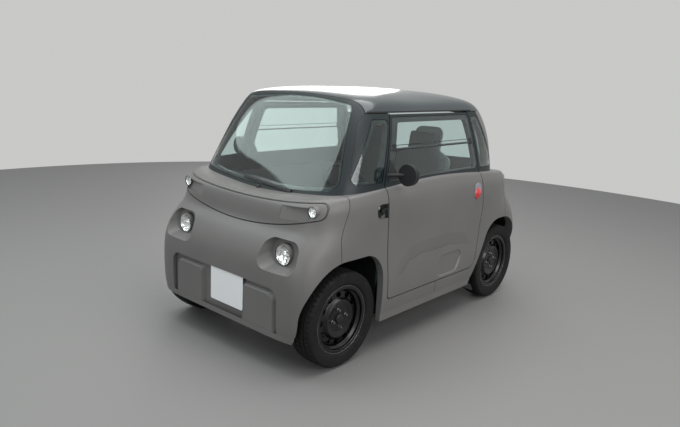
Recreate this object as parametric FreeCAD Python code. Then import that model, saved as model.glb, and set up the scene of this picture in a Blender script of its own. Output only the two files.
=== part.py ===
"""A two-seat electric microcar on four wheels, with two opening doors and steered front wheels.

Millimetres. The front faces -Y, the car's left side is +X and +Z is up. The origin is on the ground,
at the centre of the car's length and width.
"""
import FreeCAD, Part
import math
import os

Vector = FreeCAD.Vector

# Overall sizes
LENGTH = 2410.0
WIDTH = 1390.0
HEIGHT = 1520.0
BELT_Z = 1010.0
HALF_LENGTH = LENGTH / 2
HALF_WIDTH = WIDTH / 2
OVERRUN = 60.0
SEAT_GAP = 0.3
TOLERANCE = 0.001
SINK_SHARE = 0.2

# Wheels and axles
WHEELBASE = 1728.0
TRACK = 1165.0
TYRE_R = 278.5
TYRE_W = 155.0
RIM_R = 195.0
RIM_W = 124.0
BEAD_R = 178.0
RIM_WALL = 5.0
AXLE_Y = WHEELBASE / 2
WHEEL_X = TRACK / 2
HUB_Z = TYRE_R

# Body walls and seams
PANEL_WALL = 40.0
SKIN = 8.0
SEAM = 4.0
DOOR_GAP = 7.0
DOOR_WALL = 46.0
DOOR_SET_BACK = 20.0
CABIN_WALL = 28.0
GLASS = 5.0
GLASS_GAP = 2.0
GLASS_LEDGE = 26.0
FOOT_LEDGE = 10.0
SCREEN_LEDGE = 16.0

# Lower body, from the sill up and in over the deck. Each row: front reach as a share of the half
# length, front height as a share of the belt height, side reach as a share of the half width, side
# height as a share of the belt height, and how square the plan is.
LOWER_SHARES = [
    (0.961, 0.198, 0.921, 0.198, 10),
    (0.979, 0.204, 0.957, 0.204, 10),
    (0.992, 0.233, 0.984, 0.233, 11),
    (0.998, 0.327, 0.998, 0.327, 11),
    (1.000, 0.436, 0.997, 0.436, 11),
    (0.998, 0.535, 0.987, 0.535, 11),
    (0.988, 0.614, 0.980, 0.614, 10),
    (0.963, 0.681, 0.977, 0.683, 9),
    (0.933, 0.730, 0.976, 0.741, 8),
    (0.906, 0.767, 0.977, 0.792, 7.5),
    (0.898, 0.822, 0.977, 0.842, 7),
    (0.890, 0.873, 0.974, 0.889, 7),
    (0.876, 0.899, 0.967, 0.929, 7),
    (0.851, 0.910, 0.955, 0.962, 7.5),
    (0.817, 0.915, 0.942, 0.986, 8),
    (0.772, 0.918, 0.925, 0.998, 8),
    (0.714, 0.923, 0.892, 1.002, 8),
    (0.580, 0.931, 0.720, 0.995, 6),
    (0.330, 0.946, 0.430, 0.970, 4),
    (0.125, 0.955, 0.160, 0.955, 2),
]
LOWER_SILL_ROWS = 3

# Cabin top, from under the belt up and in over the roof. Each row: front reach and rear reach as
# shares of the half length, side reach as a share of the half width, front, rear and side heights
# as shares of the height, and how square the plan is.
UPPER_SHARES = [
    (0.803, 0.696, 0.950, 0.566, 0.566, 0.566, 8),
    (0.772, 0.692, 0.935, 0.609, 0.615, 0.615, 8),
    (0.737, 0.687, 0.919, 0.660, 0.664, 0.664, 8.5),
    (0.693, 0.679, 0.893, 0.724, 0.724, 0.724, 9),
    (0.647, 0.666, 0.858, 0.789, 0.789, 0.789, 10),
    (0.602, 0.641, 0.815, 0.855, 0.855, 0.852, 11),
    (0.560, 0.604, 0.771, 0.914, 0.911, 0.903, 12),
    (0.531, 0.573, 0.744, 0.955, 0.942, 0.926, 12),
    (0.503, 0.531, 0.708, 0.975, 0.964, 0.949, 10),
    (0.440, 0.448, 0.633, 0.987, 0.982, 0.968, 7),
    (0.324, 0.324, 0.489, 0.995, 0.992, 0.986, 5),
    (0.174, 0.174, 0.273, 0.999, 0.998, 0.996, 3),
    (0.058, 0.058, 0.094, 1.000, 1.000, 1.000, 2),
]

# Angles of one quarter of the plan, closer together at the corner
QUARTER_DEGREES = (0, 14, 25, 33, 38, 41.5, 45, 48.5, 52, 57, 65, 76)

# Door outline in the side view, left side
DOOR_FRONT_LOW_Y = -517.0
DOOR_FRONT_BELT_Y = -545.0
DOOR_FRONT_TOP_Y = -405.0
DOOR_REAR_TOP_Y = 468.0
DOOR_REAR_BELT_Y = 508.0
DOOR_REAR_WAIST_Y = 556.0
DOOR_REAR_WAIST_Z = 745.0
DOOR_REAR_LOW_Y = 470.0
DOOR_LOW_Z = 330.0
DOOR_TOP_Z = 1388.0
DOOR_CORNER_R = 80.0
DOOR_TOP_R = 18.0
DOOR_GLASS_INSET = 13.0
DOOR_GLASS_FRONT = 62.0
DOOR_GLASS_REAR = 44.0
DOOR_GLASS_HEAD = 47.0

# The crease along the door: the skin above it is set in, and comes out again higher up. Each row:
# place along the car, height of the crease, and the set-in as a share of its depth.
CREASE_X = 686.5
CREASE_DEPTH = 9.0
CREASE_RISE = 106.0
CREASE_RETURN = 4.5
CREASE_SHARES = [
    (-450.0, 440.0, -0.4),
    (-382.0, 461.0, 0.3),
    (-315.0, 514.0, 0.9),
    (-175.0, 539.0, 1.0),
    (159.0, 538.0, 1.0),
    (309.0, 524.0, 0.8),
    (425.0, 500.0, -0.4),
]

# The shallow dish low on the door, in the side view
DISH_LOW_Z = 345.0
DISH_HIGH_Z = 493.0
DISH_LOW_FRONT_Y = 5.0
DISH_HIGH_FRONT_Y = 30.0
DISH_HIGH_REAR_Y = 325.0
DISH_LOW_REAR_Y = 235.0
DISH_R = 40.0
DISH_X = 686.0
DISH_TAPER = 7.0

# Wheel arch outline in the side view, left side
ARCH_TOP_Z = 626.0
ARCH_END_Y = 1174.0
ARCH_END_R = 290.0
ARCH_FRONT_INNER_Y = 572.0
ARCH_FRONT_INNER_R = 150.0
ARCH_REAR_FOOT_Y = 390.0
ARCH_REAR_HEAD_Y = 690.0
ARCH_REAR_R = 240.0
LINER_WALL = 4.0
LINER_GROWTH = 10.0
LINER_FRONT_X = 345.0
LINER_REAR_X = 455.0
LINER_OUT_X = 626.0
LINER_LOW_Z = 215.0

# Seams between the end mouldings and the side panels
SEAM_TOP_Y = 838.0
SEAM_TOP_Z = 990.0
SEAM_MID_Y = 852.0
SEAM_MID_Z = 925.0
SEAM_LOW_Y = 926.0
SEAM_LOW_Z = 740.0
SEAM_R = 160.0
PANEL_IN_X = 560.0
DECK_Y = 700.0
DECK_Z = 850.0
SIDE_IN_X = 450.0

# Windows in the side view, left side
WINDOW_FOOT = 8.0
WINDOW_FRAME = 24.0
WINDOW_POST = 22.0
WINDOW_R = 26.0
PILLAR_BELT_Y = -812.0
PILLAR_TOP_Y = -577.0
REAR_PILLAR_BELT_Y = 734.0
REAR_PILLAR_TOP_Y = 584.0
PILLAR_SEAM = 14.0
FLIP_Z = 1190.0
FLIP_BAR = 9.0
FLIP_GAP = 2.0

# Windscreen and rear window in the front view
SCREEN_FOOT_X = 566.0
SCREEN_FOOT_Z = 990.0
SCREEN_FOOT_SAG = 46.0
SCREEN_HEAD_X = 442.0
SCREEN_HEAD_Z = 1436.0
SCREEN_HEAD_RISE = 30.0
SCREEN_R = 55.0
REAR_FOOT_X = 520.0
REAR_FOOT_Z = 1030.0
REAR_FOOT_SAG = 22.0
REAR_HEAD_X = 430.0
REAR_HEAD_Z = 1372.0
REAR_HEAD_RISE = 18.0
ALONG_SHARE = 0.9
FRAME_LOW_Z = 905.0

# Roof
ROOF_FRONT_Y = -604.0
ROOF_REAR_Y = 612.0
ROOF_LOW_Z = 1397.0
ROOF_SKIN = 12.0
ROOF_LEDGE = 34.0

# Wheels in detail
TREAD_CROWN = 7.0
SHOULDER_SHARE = 0.84
RIM_WELL = 13.0
RIM_SEAT = 16.0
DISC_ROOT_X = 16.0
DISC_VENT_X = 24.0
DISC_VENT_R = 139.0
DISC_VENT_W = 38.0
DISC_VENT_L = 32.0
DISC_STEP = 6.0
DISC_CROWN_X = 50.0
DISC_CROWN_R = 106.0
DISC_R = 6.0
HUB_FACE_X = 40.0
HUB_FACE_R = 74.0
HUB_BORE_R = 30.0
VENT_COUNT = 12
ROUND_SHARE = 0.9
ARCH_FOOT_Z = 130.0
ARCH_INNER_X = 500.0

# Knuckles, arms and the rear axle
KINGPIN_X = WHEEL_X - 10.0
SPINDLE_R = HUB_BORE_R - SEAT_GAP
DRUM_R = 88.0
DRUM_W = 52.0
DRUM_GAP = 6.0
ARM_R = 13.0
ARM_LOW_Z = 172.0
ARM_HIGH_Z = 388.0
BALL_R = 17.0
BALL_H = 26.0
UPRIGHT_W = 26.0
UPRIGHT_L = 44.0
ARM_SPREAD = 120.0
ARM_HIGH_BACK = 20.0
DAMPER_X = 402.0
DAMPER_R = 17.0
SPRING_R = 30.0
SPRING_LOW_Z = 400.0
DAMPER_TOP_Z = ARCH_TOP_Z + LINER_GROWTH - LINER_WALL - SEAT_GAP
PIN_CLEAR = 6.0
TOWER_H = 190.0
TOWER_GAP = 10.0
TOWER_WALL = 22.0
BEAM_R = 32.0
BEAM_Y = 640.0
TRAIL_R = 20.0
TRAIL_X = 430.0

# Lamps
LAMP_X = 438.0
LAMP_Z = 654.0
LAMP_R = 60.0
LAMP_DOME = 8.0
LAMP_L = 58.0
LAMP_FACE_Y = 1149.0
POCKET_X = 443.0
POCKET_W = 306.0
POCKET_Z = 650.0
POCKET_H = 192.0
POCKET_R = 62.0
POCKET_FLOOR_Y = 1112.0
POCKET_FLOOR_Z = 664.0
POCKET_FLOOR_W = 204.0
POCKET_FLOOR_H = 144.0
POCKET_TILT = 18.0
POCKET_WALL = 6.0
MARKER_X = 546.0
MARKER_Z = 893.0
MARKER_R = 32.0
MARKER_L = 40.0
MARKER_BACK_Y = 955.0

# Strip across each end
STRIP_HALF = 604.0
STRIP_END_HIGH_Z = 944.0
STRIP_END_LOW_Z = 858.0
STRIP_MID_HIGH_Z = 905.0
STRIP_MID_LOW_Z = 766.0
STRIP_R = 36.0
STRIP_GAP = 3.0

# The scoop that runs into each marker lamp, from its shallow inner end to its deep outer end
SCOOP_IN_X = 345.0
SCOOP_IN_LOW_Z = 832.0
SCOOP_IN_HIGH_Z = 902.0
SCOOP_OUT_X = 540.0
SCOOP_OUT_LOW_Z = 846.0
SCOOP_OUT_HIGH_Z = 912.0
SCOOP_DEPTH = 16.0

# Bumper recess and its two pads
RECESS_HALF = 470.0
RECESS_TOP_Z = 480.0
RECESS_DEPTH = 26.0
RECESS_R = 60.0
PAD_GAP = 16.0
PAD_BAY = 165.0
PAD_RISE = 19.0
PAD_CHAMFER = 24.0
PAD_FACE_Y = 1196.0

# Floor and inner structure
FLOOR_Z = 224.0
FLOOR_WALL = 12.0
FLOOR_FRONT_Y = -552.0
FLOOR_REAR_Y = 600.0
TOE_LOW_Y = -700.0
TOE_MID_Y = -850.0
TOE_MID_Z = 470.0
BULKHEAD_TOP_Z = 893.0
SHELF_Z = 655.0
SHELF_END_Y = 1080.0
RAIL_X = 250.0
RAIL_W = 50.0
RAIL_LOW_Z = 158.0
RAIL_FRONT_Y = -1060.0
RAIL_REAR_Y = 980.0
CROSS_W = 60.0
BATTERY_W = 700.0
BATTERY_FRONT_Y = 312.0
BATTERY_REAR_Y = 562.0
BATTERY_H = 180.0
MOTOR_W = 330.0
MOTOR_FRONT_Y = -1080.0
MOTOR_REAR_Y = -900.0
MOTOR_LOW_Z = FLOOR_Z
MOTOR_H = 230.0

# Doors
HINGE_LEAF_H = 64.0
HINGE_LEAF_WALL = 20.0
HINGE_LOW_Z = 470.0
HINGE_HIGH_Z = 800.0
HINGE_X = 700.0
HINGE_Y = 561.0
MIRROR_X = 736.0
MIRROR_Y = -455.0
MIRROR_Z = 1067.0
MIRROR_R = 62.0
MIRROR_D = 44.0
MIRROR_ARM_R = 11.0
MIRROR_FOOT = 60.0
MIRROR_REACH = 124.0

# Seats and controls
SEAT_X = 268.0
SEAT_STAGGER = 90.0
SEAT_FRONT_Y = -190.0
SEAT_BACK_Y = 250.0
SEAT_Z = 440.0
SEAT_W = 430.0
CUSHION_H = 76.0
BACK_TOP_Z = 1270.0
BACK_LEAN = 170.0
BACK_H = 70.0
SHELL_WALL = 14.0
BACK_SHARE = 0.98
SHOULDER_Z = 1060.0
HEADREST_LOW_Z = 1110.0
HEADREST_W = 230.0
HEADREST_R = 60.0
DASH_FRONT_Y = TOE_MID_Y + SEAT_GAP
DASH_REAR_Y = -610.0
DASH_TOP_Z = 950.0
DASH_LOW_Z = 740.0
DASH_W = 1080.0
WHEEL_RING_R = 175.0
WHEEL_RING_TUBE = 13.0
COLUMN_TILT = 24.0
COLUMN_Y = -430.0
COLUMN_Z = 905.0
COLUMN_R = 24.0
COLUMN_L = 240.0
WHEEL_BOSS_R = 42.0
SPOKE_W = 24.0
PEDAL_W = 60.0
PEDAL_H = 80.0
PEDAL_WALL = 10.0
PEDAL_GAP = 70.0

# Wiper on the windscreen's foot, in the front view
WIPER_X = 60.0
WIPER_Z = 962.0
WIPER_L = 420.0
WIPER_W = 14.0
WIPER_H = 9.0
WIPER_TILT = 3.5
WIPER_ARM_X = -60.0
WIPER_ARM_W = 16.0
WIPER_DROP = 34.0

# Latch recess in the side panel at the door's free edge, and its handle
LATCH_Y = -592.0
LATCH_Z = 862.0
LATCH_L = 104.0
LATCH_H = 86.0
LATCH_R = 40.0
LATCH_DEPTH = 26.0
LATCH_RISE = 12.0
LATCH_LEVER_L = 44.0
LATCH_LEVER_H = 26.0

# Angles in degrees
STEER_LIMIT = 32.0


def side_view(y, z):
    return Vector(0, y, z)


def front_view(x, z):
    return Vector(x, 0, z)


def plan_view(x, y):
    return Vector(x, y, 0)


def outline(view, corners):
    """A closed wire through corners (u, v, radius), each rounded by its radius."""
    points = [view(u, v) for u, v, _ in corners]
    stretches = []
    for i, (_, _, radius) in enumerate(corners):
        point = points[i]
        back = (points[i - 1] - point).normalize()
        ahead = (points[(i + 1) % len(points)] - point).normalize()
        if radius == 0:
            stretches.append((point, None, point))
            continue
        half = back.getAngle(ahead) / 2
        reach = radius / math.tan(half)
        bisector = (back + ahead).normalize()
        middle = point + bisector * (radius / math.sin(half) - radius)
        stretches.append((point + back * reach, middle, point + ahead * reach))
    edges = []
    for i, (start, middle, end) in enumerate(stretches):
        if middle is not None:
            edges.append(Part.Arc(start, middle, end).toShape())
        following = stretches[(i + 1) % len(stretches)][0]
        if (following - end).Length > SEAT_GAP:
            edges.append(Part.makeLine(end, following))
    return Part.Wire(edges)


def bow(start, middle, end):
    """A round edge through three points."""
    return Part.Arc(start, middle, end).toShape()


def grown(wire, distance):
    """The same flat outline, moved outwards by a distance, or inwards by a negative one."""
    face = Part.Face(wire)
    return face.makeOffset2D(distance, 2).OuterWire


def slab(wire, low, high):
    """A flat outline pushed across its own plane, from low to high."""
    face = Part.Face(wire)
    axis = face.normalAt(0, 0)
    axis = Vector(abs(axis.x), abs(axis.y), abs(axis.z))
    face.translate(axis * low)
    return face.extrude(axis * (high - low))


def block(x, y, z):
    """A box between pairs of limits."""
    size = Vector(x[1] - x[0], y[1] - y[0], z[1] - z[0])
    return Part.makeBox(size.x, size.y, size.z, Vector(x[0], y[0], z[0]))


def turned(shape):
    """The same shape on the other side of the car, turned half a turn about the upright axis."""
    copy = shape.copy()
    copy.rotate(Vector(0, 0, 0), Vector(0, 0, 1), 180)
    return copy


def mirrored(shape):
    """The same shape on the right side of the car."""
    return shape.mirror(Vector(0, 0, 0), Vector(1, 0, 0))


def fused(shapes):
    """One shape from several."""
    shapes = list(shapes)
    return shapes[0].multiFuse(shapes[1:]).removeSplitter()


def plan_directions():
    """Angles round the whole plan, from the middle of the right side by the front."""
    angles = []
    for quarter in range(-1, 3):
        for degrees in QUARTER_DEGREES:
            angles.append(math.radians(90 * quarter + degrees))
    return angles


def ring(angle, front, side, rear, square):
    """One point of a plan ring, from its front, side and rear (reach, height)."""
    along = math.cos(angle)
    across = math.sin(angle)
    radial = (abs(along) ** square + abs(across) ** square) ** (-1.0 / square)
    end = front if along > 0 else rear
    weight = across * across
    z = side[1] * weight + end[1] * (1 - weight)
    return Vector(side[0] * radial * across, -end[0] * radial * along, z)


def inset(profile, distance, sill_rows):
    """A profile of (reach, height) moved inwards by a distance, and downwards as it rises."""
    low = profile[0][1]
    high = max(height for _, height in profile)
    moved = []
    for reach, height in profile:
        share = SINK_SHARE + (1 - SINK_SHARE) * (height - low) / (high - low)
        moved.append((reach - distance, height - distance * share))
    for i in range(sill_rows):
        moved[i] = (moved[sill_rows][0], moved[i][1])
    return moved


def skin_solid(fronts, sides, rears, squares, distance, sill_rows):
    """A closed smooth solid through plan rings, moved inwards by a distance."""
    fronts = inset(fronts, distance, sill_rows)
    sides = inset(sides, distance, sill_rows)
    rears = inset(rears, distance, sill_rows)
    for i in (0, -1):
        sides[i] = (sides[i][0], fronts[i][1])
        rears[i] = (rears[i][0], fronts[i][1])
    angles = plan_directions()
    places = [float(i) for i in range(len(angles) + 1)]
    poles = []
    for front, side, rear, square in zip(fronts, sides, rears, squares):
        points = [ring(angle, front, side, rear, square) for angle in angles]
        curve = Part.BSplineCurve()
        curve.interpolate(Points=points, PeriodicFlag=True, Parameters=places)
        poles.append(curve.getPoles())
    levels = [float(i) for i in range(len(fronts))]
    columns = []
    for i in range(len(poles[0])):
        rise = Part.BSplineCurve()
        rise.interpolate(Points=[row[i] for row in poles], Parameters=levels)
        columns.append(rise)
    surface = Part.BSplineSurface()
    surface.buildFromPolesMultsKnots(
        [column.getPoles() for column in columns],
        curve.getMultiplicities(), columns[0].getMultiplicities(),
        curve.getKnots(), columns[0].getKnots(),
        True, False, curve.Degree, columns[0].Degree)
    skin = surface.toShape()
    rims = [edge for edge in skin.Edges if not edge.isSeam(skin)]
    caps = [Part.Face(Part.Wire([edge])) for edge in rims]
    solid = Part.Solid(Part.Shell([skin] + caps))
    solid.fix(TOLERANCE, TOLERANCE, TOLERANCE)
    if solid.Volume < 0:
        solid.reverse()
    return solid


def lower_solid(distance=0.0):
    """The lower body, moved inwards by a distance."""
    ends = [(a * HALF_LENGTH, b * BELT_Z) for a, b, _, _, _ in LOWER_SHARES]
    sides = [(c * HALF_WIDTH, d * BELT_Z) for _, _, c, d, _ in LOWER_SHARES]
    squares = [row[4] for row in LOWER_SHARES]
    rows = LOWER_SILL_ROWS if distance > 0 else 0
    return skin_solid(ends, sides, ends, squares, distance, rows)


def upper_solid(distance=0.0):
    """The cabin top, moved inwards by a distance."""
    fronts = [(row[0] * HALF_LENGTH, row[3] * HEIGHT) for row in UPPER_SHARES]
    rears = [(row[1] * HALF_LENGTH, row[4] * HEIGHT) for row in UPPER_SHARES]
    sides = [(row[2] * HALF_WIDTH, row[5] * HEIGHT) for row in UPPER_SHARES]
    squares = [row[6] for row in UPPER_SHARES]
    return skin_solid(fronts, sides, rears, squares, distance, 0)


def door_outline():
    """The left door in the side view."""
    return outline(side_view, [
        (DOOR_FRONT_LOW_Y, DOOR_LOW_Z, DOOR_TOP_R),
        (DOOR_REAR_LOW_Y, DOOR_LOW_Z, DOOR_CORNER_R),
        (DOOR_REAR_WAIST_Y, DOOR_REAR_WAIST_Z, DOOR_CORNER_R * 2),
        (DOOR_REAR_BELT_Y, BELT_Z, DOOR_CORNER_R),
        (DOOR_REAR_TOP_Y, DOOR_TOP_Z, DOOR_TOP_R),
        (DOOR_FRONT_TOP_Y, DOOR_TOP_Z, DOOR_TOP_R),
        (DOOR_FRONT_BELT_Y, BELT_Z, DOOR_CORNER_R),
    ])


def door_window_outline(front, rear, head, foot):
    """An outline inside the top of the left door in the side view, set in from its edges."""
    low = BELT_Z + WINDOW_FOOT + foot
    high = DOOR_TOP_Z - head
    return outline(side_view, [
        (DOOR_FRONT_BELT_Y + front, low, WINDOW_R),
        (DOOR_REAR_BELT_Y - rear, low, WINDOW_R),
        (DOOR_REAR_TOP_Y - rear, high, WINDOW_R),
        (DOOR_FRONT_TOP_Y + front, high, WINDOW_R),
    ])


def door_pane_outline(step):
    """The glass of the left door, less a step all round."""
    inset_all = DOOR_GLASS_INSET + step
    return door_window_outline(inset_all, inset_all, inset_all, step)


def front_quarter_outline(belt_y, top_y, step):
    """The small window between the windscreen pillar and a door whose front edge is given, less a step."""
    foot = BELT_Z + WINDOW_FOOT + min(step, FOOT_LEDGE)
    head = DOOR_TOP_Z - WINDOW_FRAME - step
    post = WINDOW_POST + step
    radius = WINDOW_R - step / 2
    return outline(side_view, [
        (PILLAR_BELT_Y + step, foot, radius),
        (belt_y - post, foot, radius),
        (top_y - post, head, radius),
        (PILLAR_TOP_Y + step, head, radius),
    ])


def rear_quarter_outline(belt_y, top_y, step):
    """The small window between a door whose rear edge is given and the rear pillar, less a step."""
    foot = BELT_Z + WINDOW_FOOT + min(step, FOOT_LEDGE)
    head = DOOR_TOP_Z - WINDOW_FRAME - step
    post = WINDOW_POST + step
    radius = WINDOW_R - step / 2
    return outline(side_view, [
        (belt_y + post, foot, radius),
        (REAR_PILLAR_BELT_Y - step, foot, radius),
        (REAR_PILLAR_TOP_Y - step, head, radius),
        (top_y + post, head, radius),
    ])


def rear_surround_outline():
    """The rear part of the cabin top in the side view, behind the rear quarter windows."""
    rise = HEIGHT + OVERRUN - BELT_Z
    lean = (REAR_PILLAR_TOP_Y - REAR_PILLAR_BELT_Y) / (DOOR_TOP_Z - WINDOW_FRAME - BELT_Z)
    belt_y = REAR_PILLAR_BELT_Y + PILLAR_SEAM
    drop = BELT_Z - FRAME_LOW_Z + OVERRUN
    return outline(side_view, [
        (belt_y - lean * drop, BELT_Z - drop, 0), (LENGTH, BELT_Z - drop, 0),
        (LENGTH, BELT_Z + rise, 0), (belt_y + lean * rise, BELT_Z + rise, 0),
    ])


def rounded_wire(edges, radius):
    """A closed front-view wire of four edges with its corners rounded."""
    body = Part.Face(Part.Wire(edges)).extrude(Vector(0, OVERRUN, 0))
    upright = [edge for edge in body.Edges if abs(edge.tangentAt(0).y) > ALONG_SHARE]
    body = body.makeFillet(radius, upright)
    faces = [face for face in body.Faces if abs(face.CenterOfMass.y) < SEAT_GAP]
    return faces[0].OuterWire


def screen_outline(half_foot, foot_z, foot_sag, half_head, head_z, head_rise, radius):
    """A front or rear window in the front view, with bowed foot and head."""
    foot_left = front_view(half_foot, foot_z)
    foot_right = front_view(-half_foot, foot_z)
    head_left = front_view(half_head, head_z)
    head_right = front_view(-half_head, head_z)
    edges = [
        bow(foot_right, front_view(0, foot_z - foot_sag), foot_left), Part.makeLine(foot_left, head_left),
        bow(head_left, front_view(0, head_z + head_rise), head_right), Part.makeLine(head_right, foot_right),
    ]
    return rounded_wire(edges, radius)


def front_arch_outline():
    """The opening round the left front wheel in the side view."""
    return outline(side_view, [
        (-ARCH_END_Y, -OVERRUN, 0),
        (-ARCH_FRONT_INNER_Y, -OVERRUN, 0),
        (-ARCH_FRONT_INNER_Y, ARCH_TOP_Z, ARCH_FRONT_INNER_R),
        (-ARCH_END_Y, ARCH_TOP_Z, ARCH_END_R),
    ])


def rear_arch_outline():
    """The opening round the left rear wheel in the side view."""
    return outline(side_view, [
        (ARCH_REAR_FOOT_Y, ARCH_FOOT_Z, 0),
        (ARCH_REAR_FOOT_Y, -OVERRUN, 0),
        (ARCH_END_Y, -OVERRUN, 0),
        (ARCH_END_Y, ARCH_TOP_Z, ARCH_END_R),
        (ARCH_REAR_HEAD_Y, ARCH_TOP_Z, ARCH_REAR_R),
    ])


def end_region(sign):
    """The front or rear moulding in the side view, out to its seam with the side panels."""
    far = HALF_LENGTH + OVERRUN
    high = HEIGHT
    return outline(side_view, [
        (sign * far, -OVERRUN, 0),
        (sign * SEAM_LOW_Y, -OVERRUN, 0),
        (sign * SEAM_LOW_Y, SEAM_LOW_Z, SEAM_R),
        (sign * SEAM_MID_Y, SEAM_MID_Z, SEAM_R),
        (sign * SEAM_TOP_Y, high, 0),
        (sign * far, high, 0),
    ])


def side_region(sign):
    """A side panel in the side view, from its end seam to the middle of the sill."""
    high = HEIGHT
    return outline(side_view, [
        (0, -OVERRUN, 0),
        (sign * SEAM_LOW_Y, -OVERRUN, 0),
        (sign * SEAM_LOW_Y, SEAM_LOW_Z, SEAM_R),
        (sign * SEAM_MID_Y, SEAM_MID_Z, SEAM_R),
        (sign * SEAM_TOP_Y, high, 0),
        (0, high, 0),
    ])


def roof_region():
    """The roof in the side view."""
    high = HEIGHT + OVERRUN
    return outline(side_view, [
        (ROOF_FRONT_Y, ROOF_LOW_Z, 0),
        (ROOF_REAR_Y, ROOF_LOW_Z, 0),
        (ROOF_REAR_Y, high, 0),
        (ROOF_FRONT_Y, high, 0),
    ])


def end_space(gap):
    """The space of the front moulding, less a gap at its seams: the end and the deck up to the glass."""
    end = slab(grown(end_region(-1), -gap), -WIDTH, WIDTH)
    reach = PANEL_IN_X - gap
    deck = block((-reach, reach), (-LENGTH, -DECK_Y), (DECK_Z, HEIGHT))
    return end.fuse(deck)


def side_space(end, gap):
    """The space of a left side panel, less a gap at its seams."""
    return slab(grown(side_region(end), -gap), PANEL_IN_X + gap, WIDTH)


def panel(walls, wide, narrow):
    """One body panel: its skin within the narrow space and its flange within the wide one."""
    skin, flange = walls
    return fused([skin.common(narrow), flange.common(wide)])


def tyre_section():
    """The tyre's section, as a face in the plane of the wheel's axis."""
    half = RIM_W / 2 - RIM_WALL - SEAT_GAP
    low = BEAD_R + RIM_WALL * 1.5
    tread = TYRE_R - TREAD_CROWN
    side = TYRE_W / 2
    shoulder = side * SHOULDER_SHARE
    swell = (RIM_R + TYRE_R) / 2
    lip = RIM_R + RIM_WALL * 2
    edges = [
        Part.makeLine(front_view(-half, low), front_view(half, low)),
        Part.makeLine(front_view(half, low), front_view(half, lip)),
        bow(front_view(half, lip), front_view(side, swell), front_view(shoulder, tread)),
        bow(front_view(shoulder, tread), front_view(0, TYRE_R), front_view(-shoulder, tread)),
        bow(front_view(-shoulder, tread), front_view(-side, swell), front_view(-half, lip)),
        Part.makeLine(front_view(-half, lip), front_view(-half, low)),
    ]
    return Part.Face(Part.Wire(edges))


def tyre():
    """A tyre about its own centre, outer face towards +X."""
    return tyre_section().revolve(Vector(0, 0, 0), Vector(1, 0, 0), 360)


def rim():
    """A pressed steel wheel about its own centre: lipped barrel and a dished disc with vent holes."""
    out = RIM_W / 2
    lip = out - RIM_WALL
    seat = BEAD_R
    well = BEAD_R - RIM_WELL
    low = well - RIM_WALL
    edge = lip - RIM_SEAT
    barrel = outline(front_view, [
        (out, RIM_R, 0), (lip, RIM_R, 0), (lip, seat + RIM_WALL, RIM_WALL / 2), (edge, seat, RIM_WALL),
        (edge - RIM_WELL, well, RIM_WALL), (-edge + RIM_WELL, well, RIM_WALL), (-edge, seat, RIM_WALL),
        (-lip, seat + RIM_WALL, RIM_WALL / 2), (-lip, RIM_R, 0), (-out, RIM_R, 0),
        (-out, seat - RIM_WALL / 2, RIM_WALL), (-edge - RIM_WALL, seat - RIM_WALL, RIM_WALL),
        (-edge + RIM_WELL - RIM_WALL, low, RIM_WALL), (edge - RIM_WELL + RIM_WALL, low, RIM_WALL),
        (edge + RIM_WALL, seat - RIM_WALL, RIM_WALL), (out, seat - RIM_WALL / 2, RIM_WALL),
    ])
    vent_in = DISC_VENT_R - DISC_VENT_L / 2
    vent_out = DISC_VENT_R + DISC_VENT_L / 2
    front = [
        (DISC_ROOT_X, low + RIM_WALL / 2, 0), (DISC_VENT_X, vent_out, DISC_R),
        (DISC_VENT_X + DISC_STEP, vent_in, DISC_R), (DISC_CROWN_X, DISC_CROWN_R, DISC_R),
        (HUB_FACE_X, HUB_FACE_R, DISC_R), (HUB_FACE_X, HUB_BORE_R, 0),
    ]
    back = [(x - RIM_WALL, r, radius) for x, r, radius in reversed(front)]
    disc = outline(front_view, front + back)
    centre = Vector(0, 0, 0)
    axis = Vector(1, 0, 0)
    solid = fused([Part.Face(wire).revolve(centre, axis, 360) for wire in (barrel, disc)])
    vent_half = DISC_VENT_W / 2
    vent_round = DISC_VENT_L / 2 * ROUND_SHARE
    vent = slab(outline(side_view, [
        (-vent_half, vent_in, vent_round), (vent_half, vent_in, vent_round),
        (vent_half, vent_out, vent_round), (-vent_half, vent_out, vent_round),
    ]), -out, out)
    vents = []
    for i in range(VENT_COUNT):
        copy = vent.copy()
        copy.rotate(centre, axis, 360.0 * i / VENT_COUNT)
        vents.append(copy)
    return solid.cut(Part.makeCompound(vents))


def wheel_place(shape, side, end):
    """A wheel piece put on its axle: side 1 is left, end -1 is front."""
    copy = shape.copy()
    if side < 0:
        copy.rotate(Vector(0, 0, 0), Vector(0, 0, 1), 180)
    copy.translate(Vector(side * WHEEL_X, end * AXLE_Y, HUB_Z))
    return copy


def full_slab(wire):
    """A side-view outline pushed right through the car."""
    return slab(wire, -WIDTH, WIDTH)


def end_strip_outline(gap=0.0):
    """The strip across an end in the front view."""
    high_left = front_view(STRIP_HALF, STRIP_END_HIGH_Z)
    high_right = front_view(-STRIP_HALF, STRIP_END_HIGH_Z)
    low_left = front_view(STRIP_HALF, STRIP_END_LOW_Z)
    low_right = front_view(-STRIP_HALF, STRIP_END_LOW_Z)
    edges = [
        bow(low_right, front_view(0, STRIP_MID_LOW_Z), low_left), Part.makeLine(low_left, high_left),
        bow(high_left, front_view(0, STRIP_MID_HIGH_Z), high_right), Part.makeLine(high_right, low_right),
    ]
    wire = rounded_wire(edges, STRIP_R)
    return grown(wire, gap) if gap else wire


def front_slab(wire):
    """A front-view outline pushed forward out of the car."""
    return slab(wire, -LENGTH, -HALF_LENGTH / 2)


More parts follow.
